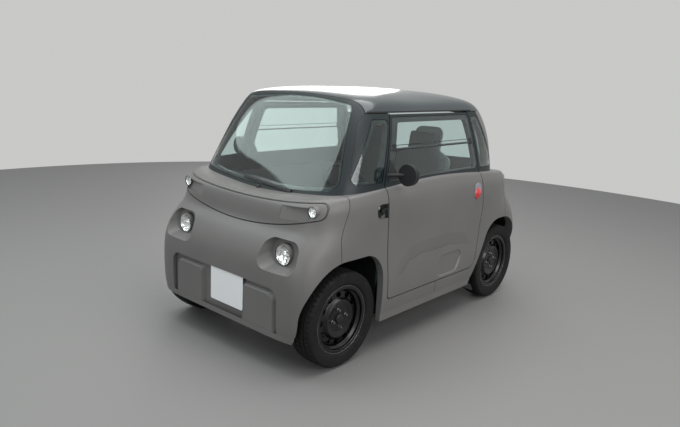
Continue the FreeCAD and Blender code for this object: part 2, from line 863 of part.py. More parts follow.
def rounded_box_outline(y, centre_x, centre_z, width, height, radius):
    """A rounded rectangle facing the front, at a given y."""
    wire = outline(front_view, [
        (centre_x - width / 2, centre_z - height / 2, radius),
        (centre_x + width / 2, centre_z - height / 2, radius),
        (centre_x + width / 2, centre_z + height / 2, radius),
        (centre_x - width / 2, centre_z + height / 2, radius),
    ])
    wire.translate(Vector(0, y, 0))
    return wire


def lamp_pocket(wall):
    """The tapered pocket round the left front lamp, grown by a wall, its floor leaning back at the top."""
    mouth_y = -HALF_LENGTH - OVERRUN
    run_share = OVERRUN / (HALF_LENGTH - POCKET_FLOOR_Y)
    wide = POCKET_W + (POCKET_W - POCKET_FLOOR_W) * run_share
    high = POCKET_H + (POCKET_H - POCKET_FLOOR_H) * run_share
    mouth = rounded_box_outline(mouth_y, POCKET_X, POCKET_Z, wide + 2 * wall, high + 2 * wall,
                                POCKET_R + wall)
    floor = rounded_box_outline(-POCKET_FLOOR_Y + wall, LAMP_X, POCKET_FLOOR_Z, POCKET_FLOOR_W + 2 * wall,
                                POCKET_FLOOR_H + 2 * wall, POCKET_R + wall)
    floor.rotate(Vector(LAMP_X, -POCKET_FLOOR_Y, POCKET_FLOOR_Z), Vector(1, 0, 0), -POCKET_TILT)
    return Part.makeLoft([mouth, floor], True, True)


def pad_outline(side, grow):
    """A bumper pad in the front view, grown by a distance."""
    inner = side * (PAD_BAY - grow)
    outer = side * (RECESS_HALF - PAD_GAP + grow)
    high = RECESS_TOP_Z - PAD_GAP + grow
    return outline(front_view, [
        (inner, -OVERRUN, 0), (outer, -OVERRUN, 0),
        (outer, high, RECESS_R - PAD_GAP), (inner, high, RECESS_R / 3),
    ])


def bumper_recess():
    """What is cut from the bumper: a bay, less two raised pads with sloping sides."""
    bay = outline(front_view, [
        (-RECESS_HALF, -OVERRUN, 0), (RECESS_HALF, -OVERRUN, 0),
        (RECESS_HALF, RECESS_TOP_Z, RECESS_R), (-RECESS_HALF, RECESS_TOP_Z, RECESS_R),
    ])
    pads = []
    for side in (1, -1):
        back = pad_outline(side, 0)
        front = pad_outline(side, -PAD_CHAMFER * 2)
        back.translate(Vector(0, -PAD_FACE_Y + PAD_CHAMFER, 0))
        front.translate(Vector(0, -PAD_FACE_Y - PAD_CHAMFER, 0))
        pads.append(Part.makeLoft([back, front], True, True))
    return slab(bay, -LENGTH, 0), pads


def skin_y(outer, x, z):
    """How far forward the body reaches at a place in the front view."""
    ray = Part.makeLine(Vector(x, -LENGTH, z), Vector(x, 0, z))
    return outer.common(ray).BoundBox.YMin


def scoop(outer):
    """The wedge that is cut from the nose beside the left marker lamp."""
    sections = []
    for x, low, high, depth in (
            (SCOOP_IN_X, SCOOP_IN_LOW_Z, SCOOP_IN_HIGH_Z, -SEAT_GAP),
            (SCOOP_OUT_X, SCOOP_OUT_LOW_Z, SCOOP_OUT_HIGH_Z, SCOOP_DEPTH)):
        low_y = skin_y(outer, x, low) + depth
        high_y = skin_y(outer, x, high) + depth
        corners = [(-LENGTH, low), (low_y, low), (high_y, high), (-LENGTH, high)]
        points = [Vector(x, y, z) for y, z in corners]
        sections.append(Part.makePolygon(points + points[:1]))
    return Part.makeLoft(sections, True, True)


def lamp_room(radius, x, z):
    """A bore towards the front for a round lamp, on both sides."""
    bores = []
    for side in (1, -1):
        place = Vector(side * x, -LENGTH, z)
        bores.append(Part.makeCylinder(radius + SEAT_GAP, LENGTH - AXLE_Y, place, Vector(0, 1, 0)))
    return Part.makeCompound(bores)


def front_body(walls, outer):
    """The nose moulding with its deck, lamp pockets, strip recess and bumper bay."""
    body = panel(walls, end_space(SEAT_GAP / 2), end_space(SEAM / 2))
    arch = slab(front_arch_outline(), ARCH_INNER_X, WIDTH)
    body = body.cut(Part.makeCompound([arch, mirrored(arch)]))
    bucket = lamp_pocket(POCKET_WALL).common(outer)
    pocket = lamp_pocket(0)
    body = fused([body, bucket, mirrored(bucket)])
    body = body.cut(Part.makeCompound([pocket, mirrored(pocket)]))
    recess = outer.cut(lower_solid(SKIN + SEAT_GAP)).common(front_slab(end_strip_outline(STRIP_GAP)))
    bay, pads = bumper_recess()
    shallow = outer.cut(lower_solid(RECESS_DEPTH)).common(bay)
    low = lower_solid(RECESS_DEPTH - PAD_RISE)
    for pad in pads:
        shallow = shallow.cut(pad.common(low))
    body = body.cut(recess).cut(shallow)
    wedge = scoop(outer)
    body = body.cut(Part.makeCompound([wedge, mirrored(wedge)]))
    return body.cut(lamp_room(MARKER_R, MARKER_X, MARKER_Z)).cut(lamp_room(LAMP_R, LAMP_X, LAMP_Z))


def nose_strip(skin, outer):
    """The strip across the nose, seated in its recess."""
    strip = skin.common(front_slab(end_strip_outline()))
    wedge = scoop(outer)
    strip = strip.cut(Part.makeCompound([wedge, mirrored(wedge)]))
    return strip.cut(lamp_room(MARKER_R, MARKER_X, MARKER_Z))


def end_lamps(outer):
    """Two round head lamps and two round marker lamps of the front end."""
    lamps = []
    axis = Vector(0, 1, 0)
    ball_r = (LAMP_R ** 2 + LAMP_DOME ** 2) / (2 * LAMP_DOME)
    marker_layer = outer.cut(lower_solid(MARKER_L))
    for side in (1, -1):
        face = Vector(side * LAMP_X, -LAMP_FACE_Y, LAMP_Z)
        back = Part.makeCylinder(LAMP_R, LAMP_L, face + axis * LAMP_DOME, axis)
        dome_room = Part.makeCylinder(LAMP_R, LAMP_DOME, face, axis)
        dome = Part.makeSphere(ball_r, face + axis * ball_r).common(dome_room)
        lamps.append(fused([back, dome]))
        place = Vector(side * MARKER_X, -LENGTH, MARKER_Z)
        marker = Part.makeCylinder(MARKER_R, LENGTH - MARKER_BACK_Y, place, axis)
        lamps.append(marker.common(marker_layer))
    return Part.makeCompound(lamps)


def side_panel_left(walls, end):
    """A left side panel with its wheel arch and half of the sill: end -1 is front."""
    arch_wire = front_arch_outline() if end < 0 else rear_arch_outline()
    arch = slab(arch_wire, 0, WIDTH)
    door = slab(grown(door_outline(), DOOR_GAP), 0, WIDTH)
    moulding = panel(walls, side_space(end, SEAT_GAP / 2), side_space(end, SEAM / 2))
    return moulding.cut(Part.makeCompound([arch, door]))


def latch_outline(grow):
    """The recess for the door handle in the side view, its free end rounded."""
    half_l = LATCH_L / 2 + grow
    half_h = LATCH_H / 2 + grow
    radius = LATCH_R + grow
    return outline(side_view, [
        (LATCH_Y - half_l, LATCH_Z - half_h, radius), (LATCH_Y + half_l, LATCH_Z - half_h, 0),
        (LATCH_Y + half_l, LATCH_Z + half_h, 0), (LATCH_Y - half_l, LATCH_Z + half_h, radius),
    ])


def latch_left(outer):
    """What is cut from the side panel for the handle, and the handle in it."""
    hollow = outer.cut(lower_solid(LATCH_DEPTH)).common(slab(latch_outline(0), SIDE_IN_X, WIDTH))
    middle = LATCH_Y + LATCH_L / 2 - LATCH_LEVER_L / 2 - DOOR_GAP
    half_l = LATCH_LEVER_L / 2
    half_h = LATCH_LEVER_H / 2
    lever = slab(outline(side_view, [
        (middle - half_l, LATCH_Z - half_h, half_h * ROUND_SHARE), (middle + half_l, LATCH_Z - half_h, 0),
        (middle + half_l, LATCH_Z + half_h, 0), (middle - half_l, LATCH_Z + half_h, half_h * ROUND_SHARE),
    ]), SIDE_IN_X, WIDTH)
    depth = lower_solid(LATCH_DEPTH - SEAT_GAP)
    handle = lower_solid(LATCH_DEPTH - LATCH_RISE).cut(depth).common(lever)
    return hollow, handle


def wiper():
    """The wiper: a blade along the windscreen's foot, its arm and its boss."""
    layer = upper_solid(-SEAT_GAP - WIPER_H).cut(upper_solid(-SEAT_GAP))
    half_l = WIPER_L / 2
    half_w = WIPER_W / 2
    blade = outline(front_view, [
        (-half_l, -half_w, 0), (half_l, -half_w, 0), (half_l, half_w, 0), (-half_l, half_w, 0),
    ])
    half_arm = WIPER_ARM_W / 2
    arm = outline(front_view, [
        (WIPER_ARM_X - half_arm, -WIPER_DROP, half_arm * ROUND_SHARE),
        (WIPER_ARM_X + half_arm, -WIPER_DROP, half_arm * ROUND_SHARE),
        (half_arm, 0, 0), (-half_arm, 0, 0),
    ])
    pieces = []
    for wire in (blade, arm):
        wire.rotate(Vector(0, 0, 0), Vector(0, 1, 0), WIPER_TILT)
        wire.translate(Vector(WIPER_X, 0, WIPER_Z))
        pieces.append(layer.common(slab(wire, -LENGTH, -HALF_LENGTH / 2)))
    return fused(pieces)


def cabin_openings(step):
    """Every window as a through hole in the cabin frame, each smaller than its glass by a step."""
    holes = []
    for wire, side in side_windows(step):
        low, high = (0, WIDTH) if side > 0 else (-WIDTH, 0)
        holes.append(slab(wire, low, high))
    front = screen_outline(SCREEN_FOOT_X, SCREEN_FOOT_Z, SCREEN_FOOT_SAG, SCREEN_HEAD_X, SCREEN_HEAD_Z,
                           SCREEN_HEAD_RISE, SCREEN_R)
    rear = screen_outline(REAR_FOOT_X, REAR_FOOT_Z, REAR_FOOT_SAG, REAR_HEAD_X, REAR_HEAD_Z,
                          REAR_HEAD_RISE, SCREEN_R)
    step = min(step, SCREEN_LEDGE)
    holes.append(slab(grown(front, -step) if step else front, -LENGTH, -HALF_LENGTH / 3))
    holes.append(slab(grown(rear, -step) if step else rear, HALF_LENGTH / 3, LENGTH))
    return holes


def side_windows(step):
    """The four small side windows: (outline, side)."""
    left_front = front_quarter_outline(DOOR_FRONT_BELT_Y, DOOR_FRONT_TOP_Y, step)
    left_rear = rear_quarter_outline(DOOR_REAR_BELT_Y, DOOR_REAR_TOP_Y, step)
    right_front = front_quarter_outline(-DOOR_REAR_BELT_Y, -DOOR_REAR_TOP_Y, step)
    right_rear = rear_quarter_outline(-DOOR_FRONT_BELT_Y, -DOOR_FRONT_TOP_Y, step)
    return [(left_front, 1), (left_rear, 1), (right_front, -1), (right_rear, -1)]


def glass_layer():
    """The thin outer layer of the cabin top that its panes are cut from, and a slightly deeper one."""
    outer = upper_solid()
    return outer.cut(upper_solid(GLASS)), outer.cut(upper_solid(GLASS + SEAT_GAP))


def cabin_frame(cabin, pockets):
    """The frame of the cabin top with its skirt below the belt: its front part and its rear surround."""
    outer, inner = cabin
    wall = outer.cut(inner)
    low = block((-WIDTH, WIDTH), (-LENGTH, LENGTH), (0, FRAME_LOW_Z))
    door = slab(grown(door_outline(), DOOR_GAP), SIDE_IN_X, WIDTH)
    roof = roof_region()
    roof_skin = outer.cut(upper_solid(ROOF_SKIN + SEAT_GAP)).common(full_slab(grown(roof, SEAM)))
    roof_hole = full_slab(grown(roof, -ROOF_LEDGE))
    wall = wall.cut(Part.makeCompound([low]))
    wall = wall.cut(Part.makeCompound([door, turned(door)]))
    wall = wall.cut(roof_skin).cut(roof_hole)
    wall = wall.cut(Part.makeCompound(cabin_openings(GLASS_LEDGE)))
    glazing = pockets.common(Part.makeCompound(cabin_openings(0)))
    wall = wall.cut(glazing)
    rear = rear_surround_outline()
    front_part = wall.cut(full_slab(grown(rear, SEAM / 2)))
    rear_part = wall.common(full_slab(grown(rear, -SEAM / 2)))
    return front_part, rear_part


def roof_panel(cabin):
    """The roof: a skin over its ledge and a thicker middle."""
    outer, inner = cabin
    roof = roof_region()
    skin = outer.cut(upper_solid(ROOF_SKIN)).common(full_slab(roof))
    thick = outer.cut(inner).common(full_slab(grown(roof, -ROOF_LEDGE - SEAM)))
    return fused([skin, thick])


def panes(layer):
    """The fixed panes: windscreen, rear window and four side windows."""
    holes = [hole for hole in cabin_openings(GLASS_GAP)]
    cut = [layer.common(hole) for hole in holes]
    return cut[4], cut[5], Part.makeCompound(cut[:4])


def door_crease():
    """What is cut from the left door above its crease."""
    sections = []
    for y, low, depth_share in CREASE_SHARES:
        low_x = CREASE_X - CREASE_DEPTH * depth_share
        high_x = CREASE_X - CREASE_RETURN * depth_share
        corners = [(low_x, low), (WIDTH, low), (WIDTH, low + CREASE_RISE), (high_x, low + CREASE_RISE)]
        points = [Vector(x, y, z) for x, z in corners]
        sections.append(Part.makePolygon(points + points[:1]))
    return Part.makeLoft(sections, True, True)


def door_dish():
    """The shallow dish that is cut low in the left door."""
    wires = []
    for grow, x in ((-DISH_TAPER, DISH_X), (DISH_TAPER, DISH_X + DISH_TAPER * 2)):
        wire = outline(side_view, [
            (DISH_LOW_FRONT_Y - grow, DISH_LOW_Z - grow, DISH_R),
            (DISH_LOW_REAR_Y + grow, DISH_LOW_Z - grow, DISH_R),
            (DISH_HIGH_REAR_Y + grow, DISH_HIGH_Z + grow, DISH_R),
            (DISH_HIGH_FRONT_Y - grow, DISH_HIGH_Z + grow, DISH_R),
        ])
        wire.translate(Vector(x, 0, 0))
        wires.append(wire)
    return Part.makeLoft(wires, True, True)


def door_left(skin, outer, cabin_room):
    """The left door below its window frame: an outer skin to the gap and a thicker inner part set back."""
    wire = door_outline()
    full = slab(wire, SIDE_IN_X, WIDTH)
    back = slab(grown(wire, -DOOR_SET_BACK), SIDE_IN_X, WIDTH)
    wall = fused([skin.common(full), outer.cut(lower_solid(DOOR_WALL)).common(back)])
    above = block((0, WIDTH), (-LENGTH, LENGTH), (FRAME_LOW_Z - SEAT_GAP, HEIGHT))
    return wall.cut(cabin_room.common(above)).cut(door_crease()).cut(door_dish())


def door_frame_left(cabin, layer_cut):
    """The window frame of the left door, with a ledge for the glass and a thin bar behind its flip line."""
    top_outer, top_inner = cabin
    wire = door_outline()
    full = slab(wire, SIDE_IN_X, WIDTH)
    back = slab(grown(wire, -DOOR_SET_BACK), SIDE_IN_X, WIDTH)
    wall = fused([top_outer.cut(upper_solid(SKIN)).common(full), top_outer.cut(top_inner).common(back)])
    low = block((0, WIDTH), (-LENGTH, LENGTH), (0, FRAME_LOW_Z))
    hole = slab(door_window_outline(DOOR_GLASS_FRONT, DOOR_GLASS_REAR, DOOR_GLASS_HEAD, FOOT_LEDGE), 0, WIDTH)
    bar = block((0, WIDTH), (-LENGTH, LENGTH), (FLIP_Z - FLIP_BAR / 2, FLIP_Z + FLIP_BAR / 2))
    wall = wall.cut(low).cut(hole.cut(bar))
    return wall.cut(layer_cut.common(slab(door_pane_outline(0), 0, WIDTH)))


def door_hinges():
    """The hinge leaves behind the door skins' hinged edges, two for each door."""
    leaf_room = lower_solid(SKIN + SEAM).cut(lower_solid(SKIN + SEAM + HINGE_LEAF_WALL))
    wire = door_outline()
    reach = slab(grown(wire, DOOR_GAP - SEAT_GAP), SIDE_IN_X, WIDTH)
    reach = reach.cut(slab(grown(wire, SEAT_GAP - DOOR_SET_BACK), SIDE_IN_X, WIDTH))
    leaves = leaf_room.common(reach)
    left = []
    for z in (HINGE_LOW_Z, HINGE_HIGH_Z):
        band = block((0, WIDTH), (0, LENGTH), (z - HINGE_LEAF_H / 2, z + HINGE_LEAF_H / 2))
        left.append(leaves.common(band))
    left = Part.makeCompound(left)
    return Part.makeCompound([left, turned(left)])


def door_glass(layer):
    """The left door's two panes, above and below the flip line."""
    pane = layer.common(slab(door_pane_outline(GLASS_GAP), 0, WIDTH))
    return pane.cut(block((0, WIDTH), (-LENGTH, LENGTH), (FLIP_Z - FLIP_GAP / 2, FLIP_Z + FLIP_GAP / 2)))


def arch_liners(inner):
    """The four wheel housings."""
    low = block((-WIDTH, WIDTH), (-LENGTH, LENGTH), (-HEIGHT, LINER_LOW_Z))
    front = front_arch_outline()
    rear = rear_arch_outline()
    liners = []
    for wire, inner_x in ((front, LINER_FRONT_X), (rear, LINER_REAR_X)):
        shell = slab(grown(wire, LINER_GROWTH), inner_x - LINER_WALL, LINER_OUT_X)
        room = slab(grown(wire, LINER_GROWTH - LINER_WALL), inner_x, WIDTH)
        liners.append(shell.cut(room).cut(low).common(inner))
    front_left, rear_left = liners
    arms = ARM_SPREAD + ARM_R * 3
    front_way = block((0, LINER_FRONT_X + LINER_WALL), (-AXLE_Y - arms, -AXLE_Y + arms),
                      (0, ARM_HIGH_Z + ARM_R * 3))
    stub = TRAIL_R * 3
    rear_way = block((0, LINER_REAR_X + LINER_WALL), (AXLE_Y - stub, AXLE_Y + stub), (0, HUB_Z + stub))
    front_left = front_left.cut(front_way)
    rear_left = rear_left.cut(rear_way)
    front_right = mirrored(front_left)
    rear_right = mirrored(rear_left)
    return Part.makeCompound([front_left, rear_left, front_right, rear_right])


def floor_pan(inner):
    """The floor, the toe board with its bulkhead, and the rear bulkhead with its shelf."""
    wall = FLOOR_WALL
    floor = block((-WIDTH, WIDTH), (FLOOR_FRONT_Y, FLOOR_REAR_Y), (FLOOR_Z, FLOOR_Z + wall))
    narrow_x = LINER_FRONT_X - LINER_WALL - SEAT_GAP
    path = [
        (FLOOR_FRONT_Y, FLOOR_Z, 0), (FLOOR_FRONT_Y, FLOOR_Z + wall, 0), (TOE_LOW_Y, FLOOR_Z + wall, wall),
        (TOE_MID_Y, TOE_MID_Z, wall), (TOE_MID_Y, BULKHEAD_TOP_Z, 0), (TOE_MID_Y - wall, BULKHEAD_TOP_Z, 0),
        (TOE_MID_Y - wall, TOE_MID_Z, 2 * wall), (TOE_LOW_Y - wall, FLOOR_Z, 2 * wall),
    ]
    toe = slab(outline(side_view, path), -narrow_x, narrow_x)
    high_z = ARCH_TOP_Z + LINER_GROWTH + SEAT_GAP
    bulkhead = block((-WIDTH, WIDTH), (TOE_MID_Y - wall, TOE_MID_Y), (high_z, BULKHEAD_TOP_Z))
    rear_x = LINER_REAR_X - LINER_WALL - SEAT_GAP
    rear = block((-rear_x, rear_x), (FLOOR_REAR_Y - wall, FLOOR_REAR_Y), (FLOOR_Z, SHELF_Z))
    shelf = block((-WIDTH, WIDTH), (FLOOR_REAR_Y - wall, SHELF_END_Y), (SHELF_Z - wall, SHELF_Z))
    arch = slab(grown(rear_arch_outline(), LINER_GROWTH + SEAT_GAP), rear_x, WIDTH)
    floor = floor.cut(Part.makeCompound([arch, mirrored(arch)]))
    whole = fused([floor, toe, bulkhead, rear, shelf])
    return whole.common(inner)


def chassis_frame():
    """Two rails under the floor, joined by cross members, with a tower for the front arms on each."""
    rails = []
    for side in (1, -1):
        middle = side * RAIL_X
        rails.append(block((middle - RAIL_W / 2, middle + RAIL_W / 2), (RAIL_FRONT_Y, RAIL_REAR_Y),
                           (RAIL_LOW_Z, FLOOR_Z - SEAT_GAP)))
        front_y = -AXLE_Y - ARM_SPREAD - TOWER_WALL
        rear_y = TOE_LOW_Y - FLOOR_WALL - TOWER_GAP
        slope_share = (TOE_LOW_Y - TOE_MID_Y) / (TOE_MID_Z - FLOOR_Z)
        tower = outline(side_view, [
            (front_y, FLOOR_Z - TOWER_WALL, 0), (rear_y, FLOOR_Z - TOWER_WALL, 0), (rear_y, FLOOR_Z, 0),
            (rear_y - TOWER_H * slope_share, FLOOR_Z + TOWER_H, TOWER_WALL),
            (front_y, FLOOR_Z + TOWER_H, TOWER_WALL),
        ])
        low_x = middle - RAIL_W / 2
        solid = slab(tower, low_x, low_x + RAIL_W)
        window = slab(grown(tower, -TOWER_WALL * 2), low_x, low_x + RAIL_W)
        rails.append(solid.cut(window))
    for y in (RAIL_FRONT_Y, -AXLE_Y, FLOOR_FRONT_Y, 0, BEAM_Y - CROSS_W * 2, RAIL_REAR_Y - CROSS_W):
        rails.append(block((-RAIL_X, RAIL_X), (y, y + CROSS_W), (RAIL_LOW_Z, FLOOR_Z - SEAT_GAP)))
    return fused(rails)


def rod(start, end, radius):
    """A round bar between two points."""
    run = end - start
    return Part.makeCylinder(radius, run.Length, start, run)


def front_suspension():
    """On each side a lower and an upper arm, and a damper in its spring."""
    pieces = []
    for side in (1, -1):
        tip_x = side * (KINGPIN_X - BALL_R - ARM_R / 2)
        root_x = side * (RAIL_X + RAIL_W / 2 + ARM_R / 2)
        for z, back in ((ARM_LOW_Z, ARM_SPREAD), (ARM_HIGH_Z, ARM_HIGH_BACK)):
            for spread in (back, -ARM_SPREAD):
                pieces.append(rod(Vector(tip_x, -AXLE_Y, z), Vector(root_x, -AXLE_Y + spread, z), ARM_R))
        foot = Vector(side * DAMPER_X, -AXLE_Y, ARM_LOW_Z)
        head = Vector(side * DAMPER_X, -AXLE_Y, DAMPER_TOP_Z)
        pieces.append(rod(foot, head, DAMPER_R))
        spring = Vector(side * DAMPER_X, -AXLE_Y, SPRING_LOW_Z + ARM_R * 2)
        pieces.append(rod(spring, head, SPRING_R))
    return fused(pieces)


def knuckle(side):
    """The left or right knuckle: upright, ball joints, brake drum and spindle."""
    middle = Vector(side * WHEEL_X, -AXLE_Y, HUB_Z)
    axis = Vector(side, 0, 0)
    drum_end = DISC_VENT_X + DISC_STEP - RIM_WALL - DRUM_GAP
    drum = Part.makeCylinder(DRUM_R, DRUM_W, middle + axis * (drum_end - DRUM_W), axis)
    spindle = Part.makeCylinder(SPINDLE_R, DRUM_W, middle + axis * (HUB_FACE_X - DRUM_W + RIM_WALL), axis)
    kingpin = Vector(side * KINGPIN_X, -AXLE_Y, 0)
    upright = block((kingpin.x - UPRIGHT_W / 2, kingpin.x + UPRIGHT_W / 2),
                    (kingpin.y - UPRIGHT_L / 2, kingpin.y + UPRIGHT_L / 2),
                    (ARM_LOW_Z + ARM_R + PIN_CLEAR, ARM_HIGH_Z - ARM_R - PIN_CLEAR))
    pin_low = ARM_LOW_Z - BALL_H / 2
    pin = Part.makeCylinder(BALL_R, ARM_HIGH_Z + BALL_H / 2 - pin_low, kingpin + Vector(0, 0, pin_low))
    return fused([drum, spindle, upright, pin])


def rear_axle():
    """The rear beam with a trailing arm, drum and spindle on each side."""
    pieces = [rod(Vector(-TRAIL_X, BEAM_Y, HUB_Z), Vector(TRAIL_X, BEAM_Y, HUB_Z), BEAM_R)]
    drum_end = DISC_VENT_X + DISC_STEP - RIM_WALL - DRUM_GAP
    spindle_start = HUB_FACE_X - DRUM_W + RIM_WALL
    for side in (1, -1):
        axis = Vector(side, 0, 0)
        middle = Vector(side * WHEEL_X, AXLE_Y, HUB_Z)
        bend = Vector(side * TRAIL_X, AXLE_Y, HUB_Z)
        pieces.append(rod(Vector(side * TRAIL_X, BEAM_Y, HUB_Z), bend, TRAIL_R))
        pieces.append(Part.makeCylinder(TRAIL_R, WHEEL_X - TRAIL_X, bend, axis))
        pieces.append(Part.makeCylinder(DRUM_R, DRUM_W, middle + axis * (drum_end - DRUM_W), axis))
        pieces.append(Part.makeCylinder(SPINDLE_R, DRUM_W, middle + axis * spindle_start, axis))
    return fused(pieces)


def seat_room(side):
    """The outline of a seat in the front view, narrowing to its headrest."""
    middle = side * SEAT_X
    half = SEAT_W / 2 + SEAT_GAP
    top_half = HEADREST_W / 2
    corners = [
        (half, 0, 0), (half, SHOULDER_Z, HEADREST_R), (top_half, HEADREST_LOW_Z, HEADREST_R / 3),
        (top_half, BACK_TOP_Z, HEADREST_R),
    ]
    corners += [(-x, z, radius) for x, z, radius in reversed(corners)]
    return slab(outline(front_view, [(middle + x, z, radius) for x, z, radius in corners]), -LENGTH, LENGTH)


def seat_shell(side):
    """A thin seat shell on its plinth, open at the sides."""
    shift = 0 if side > 0 else SEAT_STAGGER
    low = SEAT_Z
    wall = SHELL_WALL
    path = [
        (SEAT_FRONT_Y, low, 0), (SEAT_BACK_Y, low, wall * 3), (SEAT_BACK_Y + BACK_LEAN, BACK_TOP_Z, 0),
        (SEAT_BACK_Y + BACK_LEAN + wall, BACK_TOP_Z, 0), (SEAT_BACK_Y + wall, low - wall, wall * 4),
        (SEAT_FRONT_Y, low - wall, 0),
    ]
    middle = side * SEAT_X
    shell = slab(outline(side_view, path), middle - SEAT_W / 2, middle + SEAT_W / 2)
    plinth = block((middle - SEAT_W / 3, middle + SEAT_W / 3),
                   (SEAT_FRONT_Y + wall * 3, SEAT_BACK_Y - wall * 3),
                   (FLOOR_Z + FLOOR_WALL + SEAT_GAP, low - wall))
    whole = fused([shell, plinth]).common(seat_room(side))
    whole.translate(Vector(0, shift, 0))
    return whole


def seat_pads(side):
    """A seat's cushion and backrest."""
    shift = 0 if side > 0 else SEAT_STAGGER
    middle = side * SEAT_X
    low = SEAT_Z + SEAT_GAP
    half = SEAT_W / 2 - SHELL_WALL
    radius = CUSHION_H / 3
    cushion = slab(outline(side_view, [
        (SEAT_FRONT_Y, low, radius), (SEAT_BACK_Y - BACK_H - radius, low, radius),
        (SEAT_BACK_Y - BACK_H - radius, low + CUSHION_H, radius), (SEAT_FRONT_Y, low + CUSHION_H, radius),
    ]), middle - half, middle + half)
    rise = Vector(0, BACK_LEAN, BACK_TOP_Z - SEAT_Z).normalize()
    face = Vector(0, -rise.z, rise.y)
    foot = Vector(0, SEAT_BACK_Y, SEAT_Z) + rise * CUSHION_H + face * SEAT_GAP
    head = Vector(0, SEAT_BACK_Y, SEAT_Z) + rise * ((BACK_TOP_Z - SEAT_Z) * BACK_SHARE) + face * SEAT_GAP
    corners = [foot, foot + face * BACK_H, head + face * BACK_H, head]
    back = slab(outline(side_view, [(p.y, p.z, radius / 2) for p in corners]), middle - half, middle + half)
    pads = Part.makeCompound([cushion, back.common(seat_room(side))])
    pads.translate(Vector(0, shift, 0))
    return pads


def dashboard(inner):
    """The dashboard across the cabin, bored for the steering column."""
    wire = outline(side_view, [
        (DASH_FRONT_Y, DASH_LOW_Z, 0), (DASH_REAR_Y, DASH_LOW_Z, CUSHION_H / 3),
        (DASH_REAR_Y, DASH_TOP_Z - CUSHION_H, CUSHION_H / 2),
        (DASH_REAR_Y - CUSHION_H, DASH_TOP_Z, CUSHION_H / 3),
        (DASH_FRONT_Y, DASH_TOP_Z - CUSHION_H / 2, 0),
    ])
    solid = slab(wire, -DASH_W / 2, DASH_W / 2).common(inner)
    centre, axis = steering_axis()
    return solid.cut(rod(centre - axis * (COLUMN_L * 2), centre, COLUMN_R + SEAT_GAP))


def steering_axis():
    """The steering column's place and upward direction."""
    tilt = math.radians(COLUMN_TILT)
    return Vector(SEAT_X, COLUMN_Y, COLUMN_Z), Vector(0, math.cos(tilt), math.sin(tilt))


def steering_wheel():
    """A ring with three spokes and a boss."""
    centre, axis = steering_axis()
    ring_solid = Part.makeTorus(WHEEL_RING_R, WHEEL_RING_TUBE, Vector(0, 0, 0), Vector(0, 0, 1))
    boss = Part.makeCylinder(WHEEL_BOSS_R, WHEEL_RING_TUBE * 2, Vector(0, 0, -WHEEL_RING_TUBE * 2))
    pieces = [ring_solid, boss]
    for angle in (0, 90, 180):
        spoke = block((0, WHEEL_RING_R), (-SPOKE_W / 2, SPOKE_W / 2), (-WHEEL_RING_TUBE, 0))
        spoke.rotate(Vector(0, 0, 0), Vector(0, 0, 1), angle)
        pieces.append(spoke)
    wheel = fused(pieces)
    wheel.Placement = FreeCAD.Placement(centre, FreeCAD.Rotation(Vector(0, 0, 1), axis))
    return wheel


def steering_column():
    """The column from the dashboard to just short of the steering wheel."""
    centre, axis = steering_axis()
    head = centre - axis * (WHEEL_RING_TUBE * 2 + SEAT_GAP)
    return rod(head - axis * COLUMN_L, head, COLUMN_R)


def pedals():
    """Two pedals on their arms, hung from the bulkhead."""
    pieces = []
    back = TOE_MID_Y + SEAT_GAP
    for side in (1, -1):
        middle = SEAT_X - PEDAL_GAP + side * PEDAL_GAP
        front = back + PEDAL_GAP
        low = TOE_MID_Z
        high = low + PEDAL_H * 2
        arm_sides = (middle - PEDAL_WALL, middle + PEDAL_WALL)
        pad = block((middle - PEDAL_W / 2, middle + PEDAL_W / 2), (front, front + PEDAL_WALL),
                    (low, low + PEDAL_H))
        arm = block(arm_sides, (front - PEDAL_WALL, front), (low, high))
        foot = block(arm_sides, (back, front), (high - PEDAL_WALL, high))
        pieces.append(fused([pad, arm, foot]))
    return Part.makeCompound(pieces)


def mirror(side):
    """A round door mirror with its arm and foot."""
    face = Part.makeCylinder(MIRROR_R, MIRROR_D, Vector(0, -MIRROR_D / 2, 0), Vector(0, 1, 0))
    rims = [edge for edge in face.Edges if abs(edge.BoundBox.YLength) < SEAT_GAP]
    head = face.makeFillet(MIRROR_D / 3, rims[:1])
    arm = rod(Vector(0, 0, 0), Vector(-MIRROR_REACH, -MIRROR_FOOT, -MIRROR_FOOT / 4), MIRROR_ARM_R)
    whole = fused([head, arm])
    whole.translate(Vector(MIRROR_X, MIRROR_Y, MIRROR_Z))
    whole = whole.cut(upper_solid(-SEAT_GAP))
    return whole if side > 0 else mirrored(whole)


def write(name, shape):
    """Writes one sub-part."""
    solids = shape.Solids
    kept = solids[0] if len(solids) == 1 else Part.makeCompound(solids)
    kept.exportStep("parts/" + name + ".step")


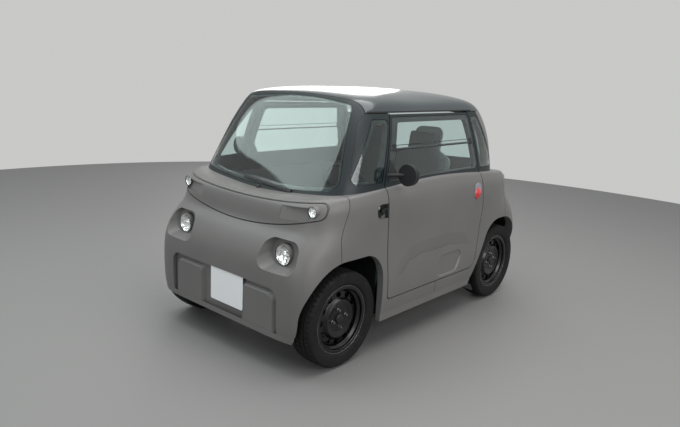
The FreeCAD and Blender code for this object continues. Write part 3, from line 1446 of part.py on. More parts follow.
def main():
    os.makedirs("parts", exist_ok=True)
    outer = lower_solid()
    under = lower_solid(SKIN)
    inner_wall = lower_solid(PANEL_WALL)
    cabin_room = upper_solid(-SEAT_GAP)
    skin = outer.cut(under)
    walls = (skin, under.cut(inner_wall))
    inner = lower_solid(PANEL_WALL + SEAT_GAP)

    nose = front_body(walls, outer)
    write("front_body", nose.cut(cabin_room))
    write("rear_body", turned(nose).cut(cabin_room))
    strip = nose_strip(skin, outer)
    write("front_strip", strip)
    write("rear_strip", turned(strip))
    lamps = end_lamps(outer)
    write("front_lamps", lamps)
    write("rear_lamps", turned(lamps))
    hollow, handle = latch_left(outer)
    write("door_handles", Part.makeCompound([handle, turned(handle)]))
    for end, name in ((-1, "front"), (1, "rear")):
        moulding = side_panel_left(walls, end)
        if end < 0:
            moulding = moulding.cut(hollow)
        other = "rear" if end < 0 else "front"
        write("side_panel_" + name + "_left", moulding.cut(cabin_room))
        write("side_panel_" + other + "_right", turned(moulding).cut(cabin_room))

    cabin = (upper_solid(), upper_solid(CABIN_WALL))
    layer, layer_cut = glass_layer()
    frame, surround = cabin_frame(cabin, layer_cut)
    write("cabin_frame", frame)
    write("rear_surround", surround)
    write("roof", roof_panel(cabin))
    windscreen, rear_window, quarter_windows = panes(layer)
    write("windscreen", windscreen)
    write("rear_window", rear_window)
    write("quarter_windows", quarter_windows)
    write("wiper", wiper())

    door = door_left(skin, outer, cabin_room)
    frame = door_frame_left(cabin, layer_cut)
    pane = door_glass(layer)
    write("door_left", door)
    write("door_right", turned(door))
    write("door_frame_left", frame)
    write("door_frame_right", turned(frame))
    write("door_windows_left", pane)
    write("door_windows_right", turned(pane))
    write("door_hinges", door_hinges())
    write("mirror_left", mirror(1))
    write("mirror_right", mirror(-1))

    write("wheel_arch_liners", arch_liners(inner))
    write("floor_pan", floor_pan(inner))
    write("chassis_frame", chassis_frame())
    write("battery_block", block((-BATTERY_W / 2, BATTERY_W / 2), (BATTERY_FRONT_Y, BATTERY_REAR_Y),
                                 (FLOOR_Z + FLOOR_WALL + SEAT_GAP, FLOOR_Z + FLOOR_WALL + BATTERY_H)))
    write("motor_block", block((-MOTOR_W / 2, MOTOR_W / 2), (MOTOR_FRONT_Y, MOTOR_REAR_Y),
                               (MOTOR_LOW_Z, MOTOR_LOW_Z + MOTOR_H)))
    write("front_suspension", front_suspension())
    write("rear_axle", rear_axle())

    for side, name in ((1, "left"), (-1, "right")):
        write("knuckle_" + name, knuckle(side))
        write("seat_shell_" + name, seat_shell(side))
        write("seat_pads_" + name, seat_pads(side))
    write("dashboard", dashboard(inner))
    write("steering_column", steering_column())
    write("steering_wheel", steering_wheel())
    write("pedals", pedals())

    tyre_solid = tyre()
    rim_solid = rim()
    for side, side_name in ((1, "left"), (-1, "right")):
        for end, end_name in ((-1, "front"), (1, "rear")):
            name = "_" + end_name + "_" + side_name
            write("tyre" + name, wheel_place(tyre_solid, side, end))
            write("rim" + name, wheel_place(rim_solid, side, end))


main()
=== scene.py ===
"""The looks of a two-seat electric microcar: finishes, lamps, tyres, seats, trim, floor, light and camera.

Metres. The front faces -Y, the car's left side is +X and +Z is up. The origin is on the ground,
at the centre of the car's length and width.
"""
import bpy
import bmesh
import math
from mathutils import Matrix, Vector
from mathutils.bvhtree import BVHTree


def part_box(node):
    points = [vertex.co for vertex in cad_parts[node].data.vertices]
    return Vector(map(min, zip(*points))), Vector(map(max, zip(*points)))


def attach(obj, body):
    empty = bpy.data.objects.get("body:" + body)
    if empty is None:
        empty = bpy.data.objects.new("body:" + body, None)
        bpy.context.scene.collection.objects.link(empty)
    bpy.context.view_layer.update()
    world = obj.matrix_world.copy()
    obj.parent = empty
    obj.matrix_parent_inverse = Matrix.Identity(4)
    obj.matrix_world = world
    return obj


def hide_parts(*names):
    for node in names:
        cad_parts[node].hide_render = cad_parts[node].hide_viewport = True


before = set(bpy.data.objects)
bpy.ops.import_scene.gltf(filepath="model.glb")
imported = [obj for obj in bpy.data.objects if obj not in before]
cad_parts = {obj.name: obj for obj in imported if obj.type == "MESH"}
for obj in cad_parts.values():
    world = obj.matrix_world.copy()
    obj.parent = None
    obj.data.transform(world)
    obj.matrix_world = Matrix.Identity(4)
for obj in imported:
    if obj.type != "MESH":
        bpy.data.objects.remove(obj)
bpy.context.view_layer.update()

UP = Vector((0, 0, 1))
MM = 0.001
SIDES = (("left", 1), ("right", -1))

# Camera: its place, its yaw, pitch and roll in degrees, and its lens and sensor width in millimetres
CAMERA_PLACE = Vector((2.735, -3.342, 1.625))
CAMERA_TURN = (-40.9, -12.93, 3.10)
CAMERA_LENS = 33.07
CAMERA_SENSOR = 36.0

# Colours, linear
TAUPE = (0.150, 0.145, 0.141)
FRAME_BLUE = (0.010, 0.016, 0.019)
ROOF_GREY = (0.026, 0.037, 0.041)
TRIM_BLACK = (0.010, 0.011, 0.012)
# Near-black of the seam and shadow lines: painted shade
SEAM_SHADE_BLACK = (0.004, 0.004, 0.004)
RUBBER = (0.005, 0.005, 0.005)
ENAMEL = (0.003, 0.003, 0.0035)
STEEL = (0.035, 0.036, 0.037)
BATTERY = (0.050, 0.055, 0.060)
CASTING = (0.300, 0.300, 0.295)
ZINC = (0.16, 0.16, 0.16)
# Bright metal of the bead round each rim's flange edge: a painted highlight
FLANGE_HIGHLIGHT_STEEL = (0.34, 0.35, 0.36)
LOCK_STEEL = (0.62, 0.62, 0.60)
CHROME = (0.92, 0.92, 0.93)
SILVER = (0.86, 0.87, 0.88)
GLASS_TINT = (0.80, 0.90, 0.885)
SHADE_TINT = (0.36, 0.41, 0.40)
LENS_CLEAR = (0.97, 0.98, 0.98)
LENS_RED = (0.60, 0.02, 0.02)
FABRIC = (0.060, 0.066, 0.066)
SEAT_PLASTIC = (0.270, 0.310, 0.295)
BELT_RED = (0.20, 0.018, 0.020)
PLATE_WHITE = (0.86, 0.87, 0.88)
BADGE_LILAC = (0.27, 0.26, 0.32)
BADGE_RED = (0.62, 0.035, 0.035)
FLOOR = (0.225, 0.22, 0.215)
BACKGROUND = (0.58, 0.585, 0.575)
SKYLIGHT = (0.90, 0.95, 1.0)
SKYLIGHT_STRENGTH = 0.40

# The way out through the panes. A pane's face turns at least this much towards it, and its cut edge less.
SIDE_OUT = (1.0, 0.0, 0.0)
SCREEN_OUT = (0.0, -0.77, 0.64)
REAR_OUT = (0.0, 0.95, 0.30)
EDGE_FACING = 0.45

# Floor
FLOOR_R = 6.6
FLOOR_STEPS = 256

# The part of a noise's range that is spread over a whole range of colour or roughness
WANDER = (0.35, 0.65)

# Lamps of the studio: name, place, point looked at, size, watts, and colour where it isn't white
LIGHTS = (
    ("overhead", (0.6, 0.0, 4.5), (0, 0, 0), (5.0, 5.0), 200),
    ("left", (5.6, -1.2, 3.0), (0, 0, 0.6), (4.0, 2.5), 115),
    ("front", (0.8, -6.0, 2.4), (0, 0, 0.7), (3.0, 2.0), 36),
    ("front_right", (-2.5, -2.9, 4.4), (0, -0.7, 1.2), (3.2, 3.0), 72, (0.86, 1.0, 0.97)),
    ("behind", (-4.9, 4.4, 2.9), (0, 0, 1.5), (3.4, 2.4), 70),
)


def opaque(colour):
    """The colour with full alpha."""
    return tuple(colour) + (1.0,)


def blend_colour(colour, factor):
    """The colour made lighter or darker by a factor, opaque."""
    return opaque(min(channel * factor, 1.0) for channel in colour)


def new_material(name, colour, roughness, **sockets):
    """A principled material and its shader."""
    material = bpy.data.materials.new(name)
    material.use_nodes = True
    shader = material.node_tree.nodes["Principled BSDF"]
    shader.inputs["Base Color"].default_value = opaque(colour)
    shader.inputs["Roughness"].default_value = roughness
    for socket, value in sockets.items():
        shader.inputs[socket.replace("_", " ")].default_value = value
    return material, shader


def node(owner, kind, **settings):
    """A new shader node of a material or world, with its settings."""
    made = owner.node_tree.nodes.new(kind)
    for key, value in settings.items():
        setattr(made, key, value)
    return made


def object_place(material):
    """Coordinates fixed to the piece, in metres."""
    return node(material, "ShaderNodeTexCoord").outputs["Object"]


def noise(material, scale, detail=2.0):
    """A noise texture's factor, at a scale in cells a metre."""
    texture = node(material, "ShaderNodeTexNoise")
    texture.inputs["Scale"].default_value = scale
    texture.inputs["Detail"].default_value = detail
    material.node_tree.links.new(object_place(material), texture.inputs["Vector"])
    return texture.outputs["Fac"]


def ramp(material, factor, stops):
    """A colour ramp over a factor: stops are (position, colour)."""
    made = node(material, "ShaderNodeValToRGB")
    while len(made.color_ramp.elements) < len(stops):
        made.color_ramp.elements.new(0.5)
    for element, (position, colour) in zip(made.color_ramp.elements, stops):
        element.position = position
        element.color = colour
    material.node_tree.links.new(factor, made.inputs["Fac"])
    return made.outputs["Color"]


def vary_colour(material, shader, colour, scale, spread):
    """Lets the base colour wander a little about its own value."""
    colours = (blend_colour(colour, 1 - spread), blend_colour(colour, 1 + spread))
    output = ramp(material, noise(material, scale, 4.0), list(zip(WANDER, colours)))
    material.node_tree.links.new(output, shader.inputs["Base Color"])


def vary_roughness(material, shader, low, high, scale):
    """Lets the roughness wander between two values."""
    spread = node(material, "ShaderNodeMapRange")
    for socket, value in zip(("From Min", "From Max", "To Min", "To Max"), WANDER + (low, high)):
        spread.inputs[socket].default_value = value
    material.node_tree.links.new(noise(material, scale, 3.0), spread.inputs["Value"])
    material.node_tree.links.new(spread.outputs["Result"], shader.inputs["Roughness"])


def add_bump(material, shader, height, strength, depth):
    """A bump from a height."""
    bump = node(material, "ShaderNodeBump")
    bump.inputs["Strength"].default_value = strength
    bump.inputs["Distance"].default_value = depth
    material.node_tree.links.new(height, bump.inputs["Height"])
    material.node_tree.links.new(bump.outputs["Normal"], shader.inputs["Normal"])


def moulded_plastic(name, colour, roughness, grain=1500.0, spread=0.04):
    """Mass-coloured plastic with a fine moulded grain."""
    material, shader = new_material(name, colour, roughness, IOR=1.46)
    vary_colour(material, shader, colour, 3.0, spread)
    vary_roughness(material, shader, roughness - 0.05, roughness + 0.05, 6.0)
    add_bump(material, shader, noise(material, grain, 1.0), 0.25, 0.12 * MM)
    return material


def gloss_paint(name, colour, roughness, coat, specular=0.5):
    """Paint under a clear coat with a faint orange peel."""
    material, shader = new_material(name, colour, roughness, Coat_Weight=coat, Coat_Roughness=0.06,
                                    Specular_IOR_Level=specular)
    vary_colour(material, shader, colour, 5.0, 0.06)
    add_bump(material, shader, noise(material, 90.0, 1.0), 0.06, 0.1 * MM)
    return material


def painted_steel(name, colour, roughness):
    """Dark enamel on pressed or welded steel."""
    material, shader = new_material(name, colour, roughness, Coat_Weight=0.15, Coat_Roughness=0.12,
                                    Specular_IOR_Level=0.4)
    vary_colour(material, shader, colour, 12.0, 0.15)
    vary_roughness(material, shader, roughness - 0.06, roughness + 0.08, 18.0)
    add_bump(material, shader, noise(material, 260.0, 2.0), 0.12, 0.15 * MM)
    return material


def clear_glass(name, tint, outward=None):
    """Glass that lets the lamps through; its cut edges are black where the way out of the pane is given."""
    material, shader = new_material(name, tint, 0.0, IOR=1.45)
    shader.inputs["Transmission Weight"].default_value = 1.0
    tree = material.node_tree
    clear = node(material, "ShaderNodeBsdfTransparent")
    clear.inputs["Color"].default_value = opaque(SHADE_TINT if outward else tint)
    path = node(material, "ShaderNodeLightPath")
    mix = node(material, "ShaderNodeMixShader")
    tree.links.new(path.outputs["Is Shadow Ray"], mix.inputs["Fac"])
    tree.links.new(shader.outputs["BSDF"], mix.inputs[1])
    tree.links.new(clear.outputs["BSDF"], mix.inputs[2])
    surface_out = mix.outputs["Shader"]
    if outward:
        facing = node(material, "ShaderNodeVectorMath", operation="DOT_PRODUCT")
        facing.inputs[1].default_value = outward
        size = node(material, "ShaderNodeMath", operation="ABSOLUTE")
        flat = node(material, "ShaderNodeMath", operation="GREATER_THAN")
        flat.inputs[1].default_value = EDGE_FACING
        edge = node(material, "ShaderNodeBsdfDiffuse")
        edge.inputs["Color"].default_value = opaque(TRIM_BLACK)
        parted = node(material, "ShaderNodeMixShader")
        normal = node(material, "ShaderNodeTexCoord").outputs["Normal"]
        tree.links.new(normal, facing.inputs[0])
        tree.links.new(facing.outputs["Value"], size.inputs[0])
        tree.links.new(size.outputs[0], flat.inputs[0])
        tree.links.new(flat.outputs[0], parted.inputs["Fac"])
        tree.links.new(edge.outputs["BSDF"], parted.inputs[1])
        tree.links.new(surface_out, parted.inputs[2])
        surface_out = parted.outputs["Shader"]
    tree.links.new(surface_out, tree.nodes["Material Output"].inputs["Surface"])
    return material


def woven_fabric(name, colour):
    """A plain weave, with sheen."""
    material, shader = new_material(name, colour, 0.85, Sheen_Weight=0.35, Sheen_Roughness=0.4)
    vary_colour(material, shader, colour, 9.0, 0.10)
    weave = node(material, "ShaderNodeMath", operation="MAXIMUM")
    for index, bands in enumerate(("X", "DIAGONAL")):
        wave = node(material, "ShaderNodeTexWave", bands_direction=bands)
        wave.inputs["Scale"].default_value = 110.0
        wave.inputs["Distortion"].default_value = 0.6
        material.node_tree.links.new(object_place(material), wave.inputs["Vector"])
        material.node_tree.links.new(wave.outputs["Fac"], weave.inputs[index])
    add_bump(material, shader, weave.outputs[0], 0.5, 0.5 * MM)
    return material


def rubber(name):
    """Tyre rubber, a little dusty."""
    material, shader = new_material(name, RUBBER, 0.8, Specular_IOR_Level=0.35)
    vary_colour(material, shader, RUBBER, 14.0, 0.25)
    vary_roughness(material, shader, 0.72, 0.88, 25.0)
    add_bump(material, shader, noise(material, 700.0, 2.0), 0.3, 0.2 * MM)
    return material


def bare_metal(name, colour, roughness):
    """Bright metal."""
    material, shader = new_material(name, colour, roughness, Metallic=1.0)
    vary_roughness(material, shader, max(roughness - 0.03, 0.0), roughness + 0.05, 40.0)
    return material


MATERIALS = {
    "body_plastic": moulded_plastic("body_plastic", TAUPE, 0.42),
    "frame_paint": gloss_paint("frame_paint", FRAME_BLUE, 0.46, 0.06, 0.35),
    "window_glass": clear_glass("window_glass", GLASS_TINT, SIDE_OUT),
    "lamp_lens": clear_glass("lamp_lens", LENS_CLEAR),
    "dark_trim": moulded_plastic("dark_trim", TRIM_BLACK, 0.45, 900.0, 0.10),
    "seat_plastic": moulded_plastic("seat_plastic", SEAT_PLASTIC, 0.42, 900.0),
    "seat_fabric": woven_fabric("seat_fabric", FABRIC),
    "chassis_steel": painted_steel("chassis_steel", STEEL, 0.5),
    "wheel_steel": painted_steel("wheel_steel", ENAMEL, 0.26),
    "tyre": rubber("tyre"),
    "battery_case": painted_steel("battery_case", BATTERY, 0.55),
    "motor_case": bare_metal("motor_case", CASTING, 0.48),
}
# Near-black lines of painted shade in seams and gaps and under the roof's edge
SEAM_SHADE, _ = new_material("seam_shadow", SEAM_SHADE_BLACK, 0.8)

# Nodes whose finish isn't their slot's
OWN_FINISH = {
    "roof": gloss_paint("roof_paint", ROOF_GREY, 0.26, 0.5),
    "windscreen": clear_glass("screen_glass", GLASS_TINT, SCREEN_OUT),
    "rear_window": clear_glass("rear_glass", GLASS_TINT, REAR_OUT),
}


def dress_nodes():
    """Every node of the frame gets its own finish, or the material of each slot."""
    for name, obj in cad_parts.items():
        for slot in obj.material_slots:
            base = slot.material.name.split(".")[0] if slot.material else ""
            finish = OWN_FINISH.get(name) or MATERIALS.get(base)
            if finish:
                slot.material = finish


def add_floor():
    """A plain grey floor, a large round slab that ends well behind the car."""
    material, shader = new_material("floor", FLOOR, 0.55)
    add_bump(material, shader, noise(material, 60.0), 0.05, 0.5 * MM)
    mesh = bpy.data.meshes.new("floor")
    rim = [(FLOOR_R * math.cos(turn), FLOOR_R * math.sin(turn), 0) for turn in full_turn(FLOOR_STEPS)]
    mesh.from_pydata(rim, [], [tuple(range(FLOOR_STEPS))])
    mesh.materials.append(material)
    floor = bpy.data.objects.new("floor", mesh)
    bpy.context.collection.objects.link(floor)


def add_world():
    """A plain pale world, one even grey where the camera, a reflection or a view through glass sees it."""
    world = bpy.data.worlds.new("studio")
    bpy.context.scene.world = world
    world.use_nodes = True
    tree = world.node_tree
    lit = tree.nodes["Background"]
    lit.inputs["Color"].default_value = opaque(SKYLIGHT)
    lit.inputs["Strength"].default_value = SKYLIGHT_STRENGTH
    seen = node(world, "ShaderNodeBackground")
    seen.inputs["Color"].default_value = opaque(BACKGROUND)
    seen.inputs["Strength"].default_value = 1.0
    path = node(world, "ShaderNodeLightPath")
    shown = path.outputs["Is Camera Ray"]
    for ray in ("Is Glossy Ray", "Is Transmission Ray"):
        either = node(world, "ShaderNodeMath", operation="MAXIMUM")
        tree.links.new(shown, either.inputs[0])
        tree.links.new(path.outputs[ray], either.inputs[1])
        shown = either.outputs[0]
    mix = node(world, "ShaderNodeMixShader")
    tree.links.new(shown, mix.inputs["Fac"])
    tree.links.new(lit.outputs["Background"], mix.inputs[1])
    tree.links.new(seen.outputs["Background"], mix.inputs[2])
    tree.links.new(mix.outputs["Shader"], tree.nodes["World Output"].inputs["Surface"])


def add_area(name, place, target, size, watts, colour=(1, 1, 1)):
    """A soft rectangular lamp that looks at a point."""
    light = bpy.data.lights.new(name, "AREA")
    light.shape = "RECTANGLE"
    light.size, light.size_y = size
    light.energy = watts
    light.color = colour
    lamp = bpy.data.objects.new(name, light)
    lamp.location = place
    aim = Vector(target) - Vector(place)
    lamp.rotation_euler = aim.to_track_quat("-Z", "Y").to_euler()
    bpy.context.collection.objects.link(lamp)


def add_camera():
    """The camera at the photograph's place and angle."""
    data = bpy.data.cameras.new("camera")
    data.sensor_width = CAMERA_SENSOR
    data.lens = CAMERA_LENS
    yaw, pitch, roll = (math.radians(angle) for angle in CAMERA_TURN)
    ahead = Vector((math.sin(yaw) * math.cos(pitch), math.cos(yaw) * math.cos(pitch), math.sin(pitch)))
    right = ahead.cross(UP).normalized()
    above = right.cross(ahead)
    right, above = (math.cos(roll) * right + math.sin(roll) * above,
                    math.cos(roll) * above - math.sin(roll) * right)
    turn = Matrix((right, above, -ahead)).transposed()
    camera = bpy.data.objects.new("camera", data)
    camera.matrix_world = Matrix.Translation(CAMERA_PLACE) @ turn.to_4x4()
    bpy.context.collection.objects.link(camera)
    bpy.context.scene.camera = camera


# ---- Meshes ----

def finish_mesh(name, mesh, material, slot, body, smooth=True, angle=40.0):
    """Wraps a mesh in a piece: outward faces, its material and its body; edges past an angle stay sharp."""
    work = bmesh.new()
    work.from_mesh(mesh)
    bmesh.ops.recalc_face_normals(work, faces=work.faces)
    for face in work.faces:
        face.smooth = smooth
    limit = math.radians(angle)
    for edge in work.edges:
        if edge.is_manifold and edge.calc_face_angle() > limit:
            edge.smooth = False
    work.to_mesh(mesh)
    work.free()
    mesh.materials.append(material)
    piece = bpy.data.objects.new(name, mesh)
    bpy.context.collection.objects.link(piece)
    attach(piece, body)
    return piece


def mesh_piece(name, shape, material, slot, body, **finish):
    """A piece from a shape, its points and faces, that rides on a body."""
    points, faces = shape
    mesh = bpy.data.meshes.new(name)
    mesh.from_pydata([tuple(point) for point in points], [], faces)
    mesh.validate()
    return finish_mesh(name, mesh, material, slot, body, **finish)


def trim_piece(name, shape, body="root", **finish):
    """A piece of dark trim."""
    return mesh_piece(name, shape, MATERIALS["dark_trim"], "dark_trim", body, **finish)


def skin_faces(rows, count, closed=True, looped=False):
    """Faces between rows of points: each row a closed loop or a line, the rows themselves looped or not."""
    faces = []
    for i in range(rows if looped else rows - 1):
        here, there = i * count, (i + 1) % rows * count
        for j in range(count if closed else count - 1):
            k = (j + 1) % count
            faces.append((here + j, here + k, there + k, there + j))
    return faces


def tube_faces(rows, count):
    """Faces between closed rows of points, and a cap at each end."""
    last = (rows - 1) * count
    return skin_faces(rows, count) + [tuple(range(count)), tuple(last + j for j in range(count))]


def full_turn(steps):
    """Even angles round a circle."""
    return [2 * math.pi * i / steps for i in range(steps)]


def around(along, radius, turn):
    """The point along +X and at a radius and an angle about it."""
    return Vector((along, radius * math.cos(turn), radius * math.sin(turn)))


def lathe(profile, steps, closed=False):
    """A profile (along, radius) turned about +X: a line whose ends lie on the axis, or a closed loop."""
    points = [around(along, radius, turn) for turn in full_turn(steps) for along, radius in profile]
    return points, skin_faces(steps, len(profile), closed, True)


def placed(shape, centre, axis=Vector((1, 0, 0)), spin=0.0):
    """A shape made about +X moved so that +X becomes an axis at a centre."""
    points, faces = shape
    turn = Vector((1, 0, 0)).rotation_difference(Vector(axis).normalized()).to_matrix()
    turn = turn @ Matrix.Rotation(spin, 3, "X")
    return [Vector(centre) + turn @ point for point in points], faces


def joined(shapes):
    """One shape from several."""
    points, faces = [], []
    for more, loops in shapes:
        base = len(points)
        points.extend(more)
        faces.extend(tuple(base + i for i in loop) for loop in loops)
    return points, faces


def turned_pair(shape):
    """A shape and its copy turned half a turn about the upright axis."""
    points, faces = shape
    return joined([shape, ([Vector((-p.x, -p.y, p.z)) for p in points], faces)])


def rounded_loop(width, height, radius, steps=6):
    """A rounded rectangle's points (u, v) about its middle."""
    loop = []
    for cx, cy, start in ((1, 1, 0), (-1, 1, 90), (-1, -1, 180), (1, -1, 270)):
        for i in range(steps + 1):
            turn = math.radians(start + 90 * i / steps)
            loop.append((cx * (width / 2 - radius) + radius * math.cos(turn),
                         cy * (height / 2 - radius) + radius * math.sin(turn)))
    return loop


def prism(loop, low, high, bevel):
    """A flat piece about +X: a loop (u, v) raised from low to high with a small bevel at its front edge."""
    rows = ((low, 0.0), (high - bevel, 0.0), (high - bevel * 0.3, bevel * 0.3), (high, bevel))
    points = []
    for along, inset in rows:
        for u, v in loop:
            share = 1 - inset / math.hypot(u, v)
            points.append(Vector((along, u * share, v * share)))
    return points, tube_faces(len(rows), len(loop))


def column(loop, axis, low, high):
    """A straight piece: a loop of points pushed along an axis (0, 1 or 2) from low to high."""
    points = []
    for along in (low, high):
        for point in loop:
            point = list(point)
            point.insert(axis, along)
            points.append(Vector(point))
    return points, tube_faces(2, len(loop))


def strap(path, width, thickness):
    """A flat strap along a path, its width along Y."""
    corners = ((-1, -1), (1, -1), (1, 1), (-1, 1))
    points = [Vector(place) + Vector((depth * thickness / 2, across * width / 2, 0))
              for place in path for across, depth in corners]
    return points, tube_faces(len(path), len(corners))


def dish(radius, depth, rings, petals, scallop):
    """A bowl about +X with a pattern of small facets: its rim at zero, its floor at minus the depth."""
    points = [Vector((-depth, 0, 0))]
    for i in range(1, rings + 1):
        share = i / rings
        for j in range(petals):
            dip = -depth * (1 - share ** 2) - scallop * (1 - share) * (j % 2)
            points.append(around(dip, radius * share, 2 * math.pi * (j + 0.5 * (i % 2)) / petals))
    faces = [(0, 1 + j, 1 + (j + 1) % petals) for j in range(petals)]
    for i in range(rings - 1):
        base, more = 1 + i * petals, 1 + (i + 1) * petals
        for j in range(petals):
            k = (j + 1) % petals
            if i % 2:
                faces += [(base + j, more + j, more + k), (base + j, more + k, base + k)]
            else:
                faces += [(base + j, more + j, base + k), (base + k, more + j, more + k)]
    return points, faces


def dome(radius, rise, rings, steps, thickness):
    """A shallow domed lens about +X, its rim at zero, with a back face."""
    ball = (radius ** 2 + rise ** 2) / (2 * rise)
    profile = []
    for i in range(rings + 1):
        reach = radius * i / rings
        profile.append((math.sqrt(ball ** 2 - reach ** 2) - (ball - rise), reach))
    back = [(along - thickness, reach) for along, reach in reversed(profile)]
    return lathe(profile + back, steps, True)


def box_middle(name):
    """The middle of a node's box."""
    low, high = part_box(name)
    return (Vector(low) + Vector(high)) / 2


def mesh_box(mesh):
    """The low and high corners of a mesh."""
    places = [vertex.co for vertex in mesh.vertices]
    return (Vector(min(p[i] for p in places) for i in range(3)),
            Vector(max(p[i] for p in places) for i in range(3)))


def loose_copies(name):
    """Each separate solid of a node as a mesh of its own, from low right to high left."""
    work = bmesh.new()
    work.from_mesh(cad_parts[name].data)
    bmesh.ops.remove_doubles(work, verts=work.verts, dist=0.02 * MM)
    left = set(work.verts)
    meshes = []
    for seed in work.verts:
        if seed not in left:
            continue
        left.remove(seed)
        group, reached = {seed}, [seed]
        while reached:
            for edge in reached.pop().link_edges:
                for vert in edge.verts:
                    if vert in left:
                        left.remove(vert)
                        group.add(vert)
                        reached.append(vert)
        copy = bmesh.new()
        order = {vert: copy.verts.new(vert.co) for vert in sorted(group, key=lambda v: v.index)}
        for face in work.faces:
            if face.verts[0] in group:
                copy.faces.new([order[vert] for vert in face.verts])
        mesh = bpy.data.meshes.new(name)
        copy.to_mesh(mesh)
        copy.free()
        meshes.append(mesh)
    work.free()
    middles = {mesh: sum(mesh_box(mesh), Vector()) / 2 for mesh in meshes}
    return sorted(meshes, key=lambda mesh: (round(middles[mesh].z, 2), middles[mesh].x))


def apply_modifiers(piece):
    """Replaces a piece's mesh by what its modifiers make of it."""
    graph = bpy.context.evaluated_depsgraph_get()
    mesh = bpy.data.meshes.new_from_object(piece.evaluated_get(graph), depsgraph=graph)
    piece.modifiers.clear()
    piece.data = mesh


# ---- Shapes laid on the car's surface ----

def surface(names):
    """A ray target over the meshes of some nodes."""
    points, faces = joined([([vertex.co.copy() for vertex in mesh.vertices],
                             [tuple(polygon.vertices) for polygon in mesh.polygons])
                            for mesh in (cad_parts[name].data for name in names)])
    return BVHTree.FromPolygons(points, faces)


# Where rays start, outside the car
SIDE_START = 1.5
FRONT_START = -2.0


def side_ray(sign):
    """Rays towards a side of the car: from (y, z) to a start and a direction."""
    return lambda y, z: (Vector((sign * SIDE_START, y, z)), Vector((-sign, 0, 0)))


def front_ray(x, z):
    """A ray towards the front of the car from (x, z)."""
    return Vector((x, FRONT_START, z)), Vector((0, 1, 0))


def hit(target, ray, u, v):
    """Where a ray meets a surface, and the surface's outward direction there."""
    start, ahead = ray(u, v)
    place, normal, _, _ = target.ray_cast(start, ahead)
    if place is None:
        return None, None
    return place, normal if normal.dot(ahead) < 0 else -normal


def spaced(path, step):
    """Points along a path (u, v) no further apart than a step."""
    points = [path[0]]
    for (u0, v0), (u1, v1) in zip(path, path[1:]):
        count = max(1, math.ceil(math.hypot(u1 - u0, v1 - v0) / step))
        points += [(u0 + (u1 - u0) * i / count, v0 + (v1 - v0) * i / count) for i in range(1, count + 1)]
    return points


# How far apart a ribbon's points are, the share of a patch that is flat, and how far the edges of both sink
RIBBON_STEP = 12.0 * MM
PATCH_FLAT = 0.97
SUNK = 0.5 * MM


def ribbon(target, ray, path, width, rise):
    """A low rounded strip that follows a path over a surface."""
    stations = [hit(target, ray, u, v) for u, v in spaced(path, RIBBON_STEP)]
    stations = [(place, normal) for place, normal in stations if place is not None]
    half = rise / 2
    section = ((-0.5, -SUNK), (-0.5, half), (-0.3, rise), (0.3, rise), (0.5, half), (0.5, -SUNK))
    points = []
    for i, (place, normal) in enumerate(stations):
        before = stations[max(i - 1, 0)][0]
        after = stations[min(i + 1, len(stations) - 1)][0]
        across = (after - before).cross(normal).normalized()
        points += [place + across * (share * width) + normal * height for share, height in section]
    return points, tube_faces(len(stations), len(section))


def patch(target, ray, loop, rise, bevel, rings=5):
    """A thin plate with a convex outline (u, v) that follows a surface."""
    middle_u = sum(u for u, _ in loop) / len(loop)
    middle_v = sum(v for _, v in loop) / len(loop)
    rows = [(1.0, -SUNK), (1.0, rise - bevel)]
    rows += [(PATCH_FLAT * (1 - i / rings), rise) for i in range(rings)]
    points = []
    for share, height in rows:
        for u, v in loop:
            place, normal = hit(target, ray, middle_u + (u - middle_u) * share,
                                middle_v + (v - middle_v) * share)
            points.append(place + normal * height)
    return points, tube_faces(len(rows), len(loop))


# ---- Wheels ----

# Tyre: its half width and radius at the bead, the side wall as (share of the height, share of the bulge),
# and the tread. A pitch of the tread is cut as (share of the pitch, 1 shoulder slot or 2 rib slot).
TYRE_TOE_X = 0.0565
TYRE_TOE_R = 0.1835
TYRE_BEAD_X = 0.0585
TYRE_BEAD_R = 0.1955
TYRE_WALL = ((0.12, 0.62), (0.20, 0.80), (0.23, 0.84), (0.26, 0.85), (0.45, 0.985), (0.55, 1.0),
             (0.70, 0.985), (0.80, 0.945), (0.82, 0.95), (0.88, 0.915))
TYRE_CROWN = 5.0 * MM
TYRE_UNDER_R = 0.4 * MM
TYRE_UNDER_W = 1.0 * MM
TREAD_PITCHES = 58
TREAD_CUTS = ((0.0, 0), (0.04, 1), (0.13, 1), (0.17, 0), (0.48, 0), (0.52, 2), (0.60, 2), (0.64, 0))
TREAD_GROOVES_X = (-0.033, 0.0, 0.033)
TREAD_GROOVE_W = 7.0 * MM
TREAD_GROOVE = 6.0 * MM
TREAD_SLOT = 4.5 * MM
TREAD_SLOT_X = 0.055
TREAD_RIB_SLOT = 2.7 * MM
TREAD_RIB = (4.0 * MM, 30.0 * MM)
TREAD_RIB_EDGE = 0.045
TREAD_HALF = 0.065
TREAD_ROUND = 4.0 * MM

# Wheel hardware: shapes about +X from profiles (along, radius) and steps, and circles and angles
BOLT_CIRCLE_R = 0.053
BOLT_COUNT = 4
BOLT_TURN = math.radians(10.0)
BOLT_SEAT = lathe(((0.0, 0.0), (0.0, 0.0125), (0.003, 0.0105), (0.003, 0.0)), 24)
BOLT_HEAD = lathe(((0.002, 0.0), (0.002, 0.0095), (0.0125, 0.0095), (0.0145, 0.008), (0.0155, 0.0)), 6)
HUB_FACE = 0.0402
HUB_CAP = lathe(((-0.004, 0.0), (-0.004, 0.029), (0.007, 0.029), (0.011, 0.026), (0.0125, 0.020),
                 (0.013, 0.0)), 48)
VALVE = lathe(((0.0, 0.0), (0.0, 0.006), (0.012, 0.0045), (0.028, 0.0045), (0.030, 0.0035),
               (0.0305, 0.0)), 20)
VALVE_X = 0.028
VALVE_R = 0.163
VALVE_TURN = 2.2
# Bead round each rim's flange edge, bright as a painted highlight: its thickness, sides and steps
EDGE_BEAD = 1.1 * MM
EDGE_SIDES = 8
EDGE_STEPS = 160


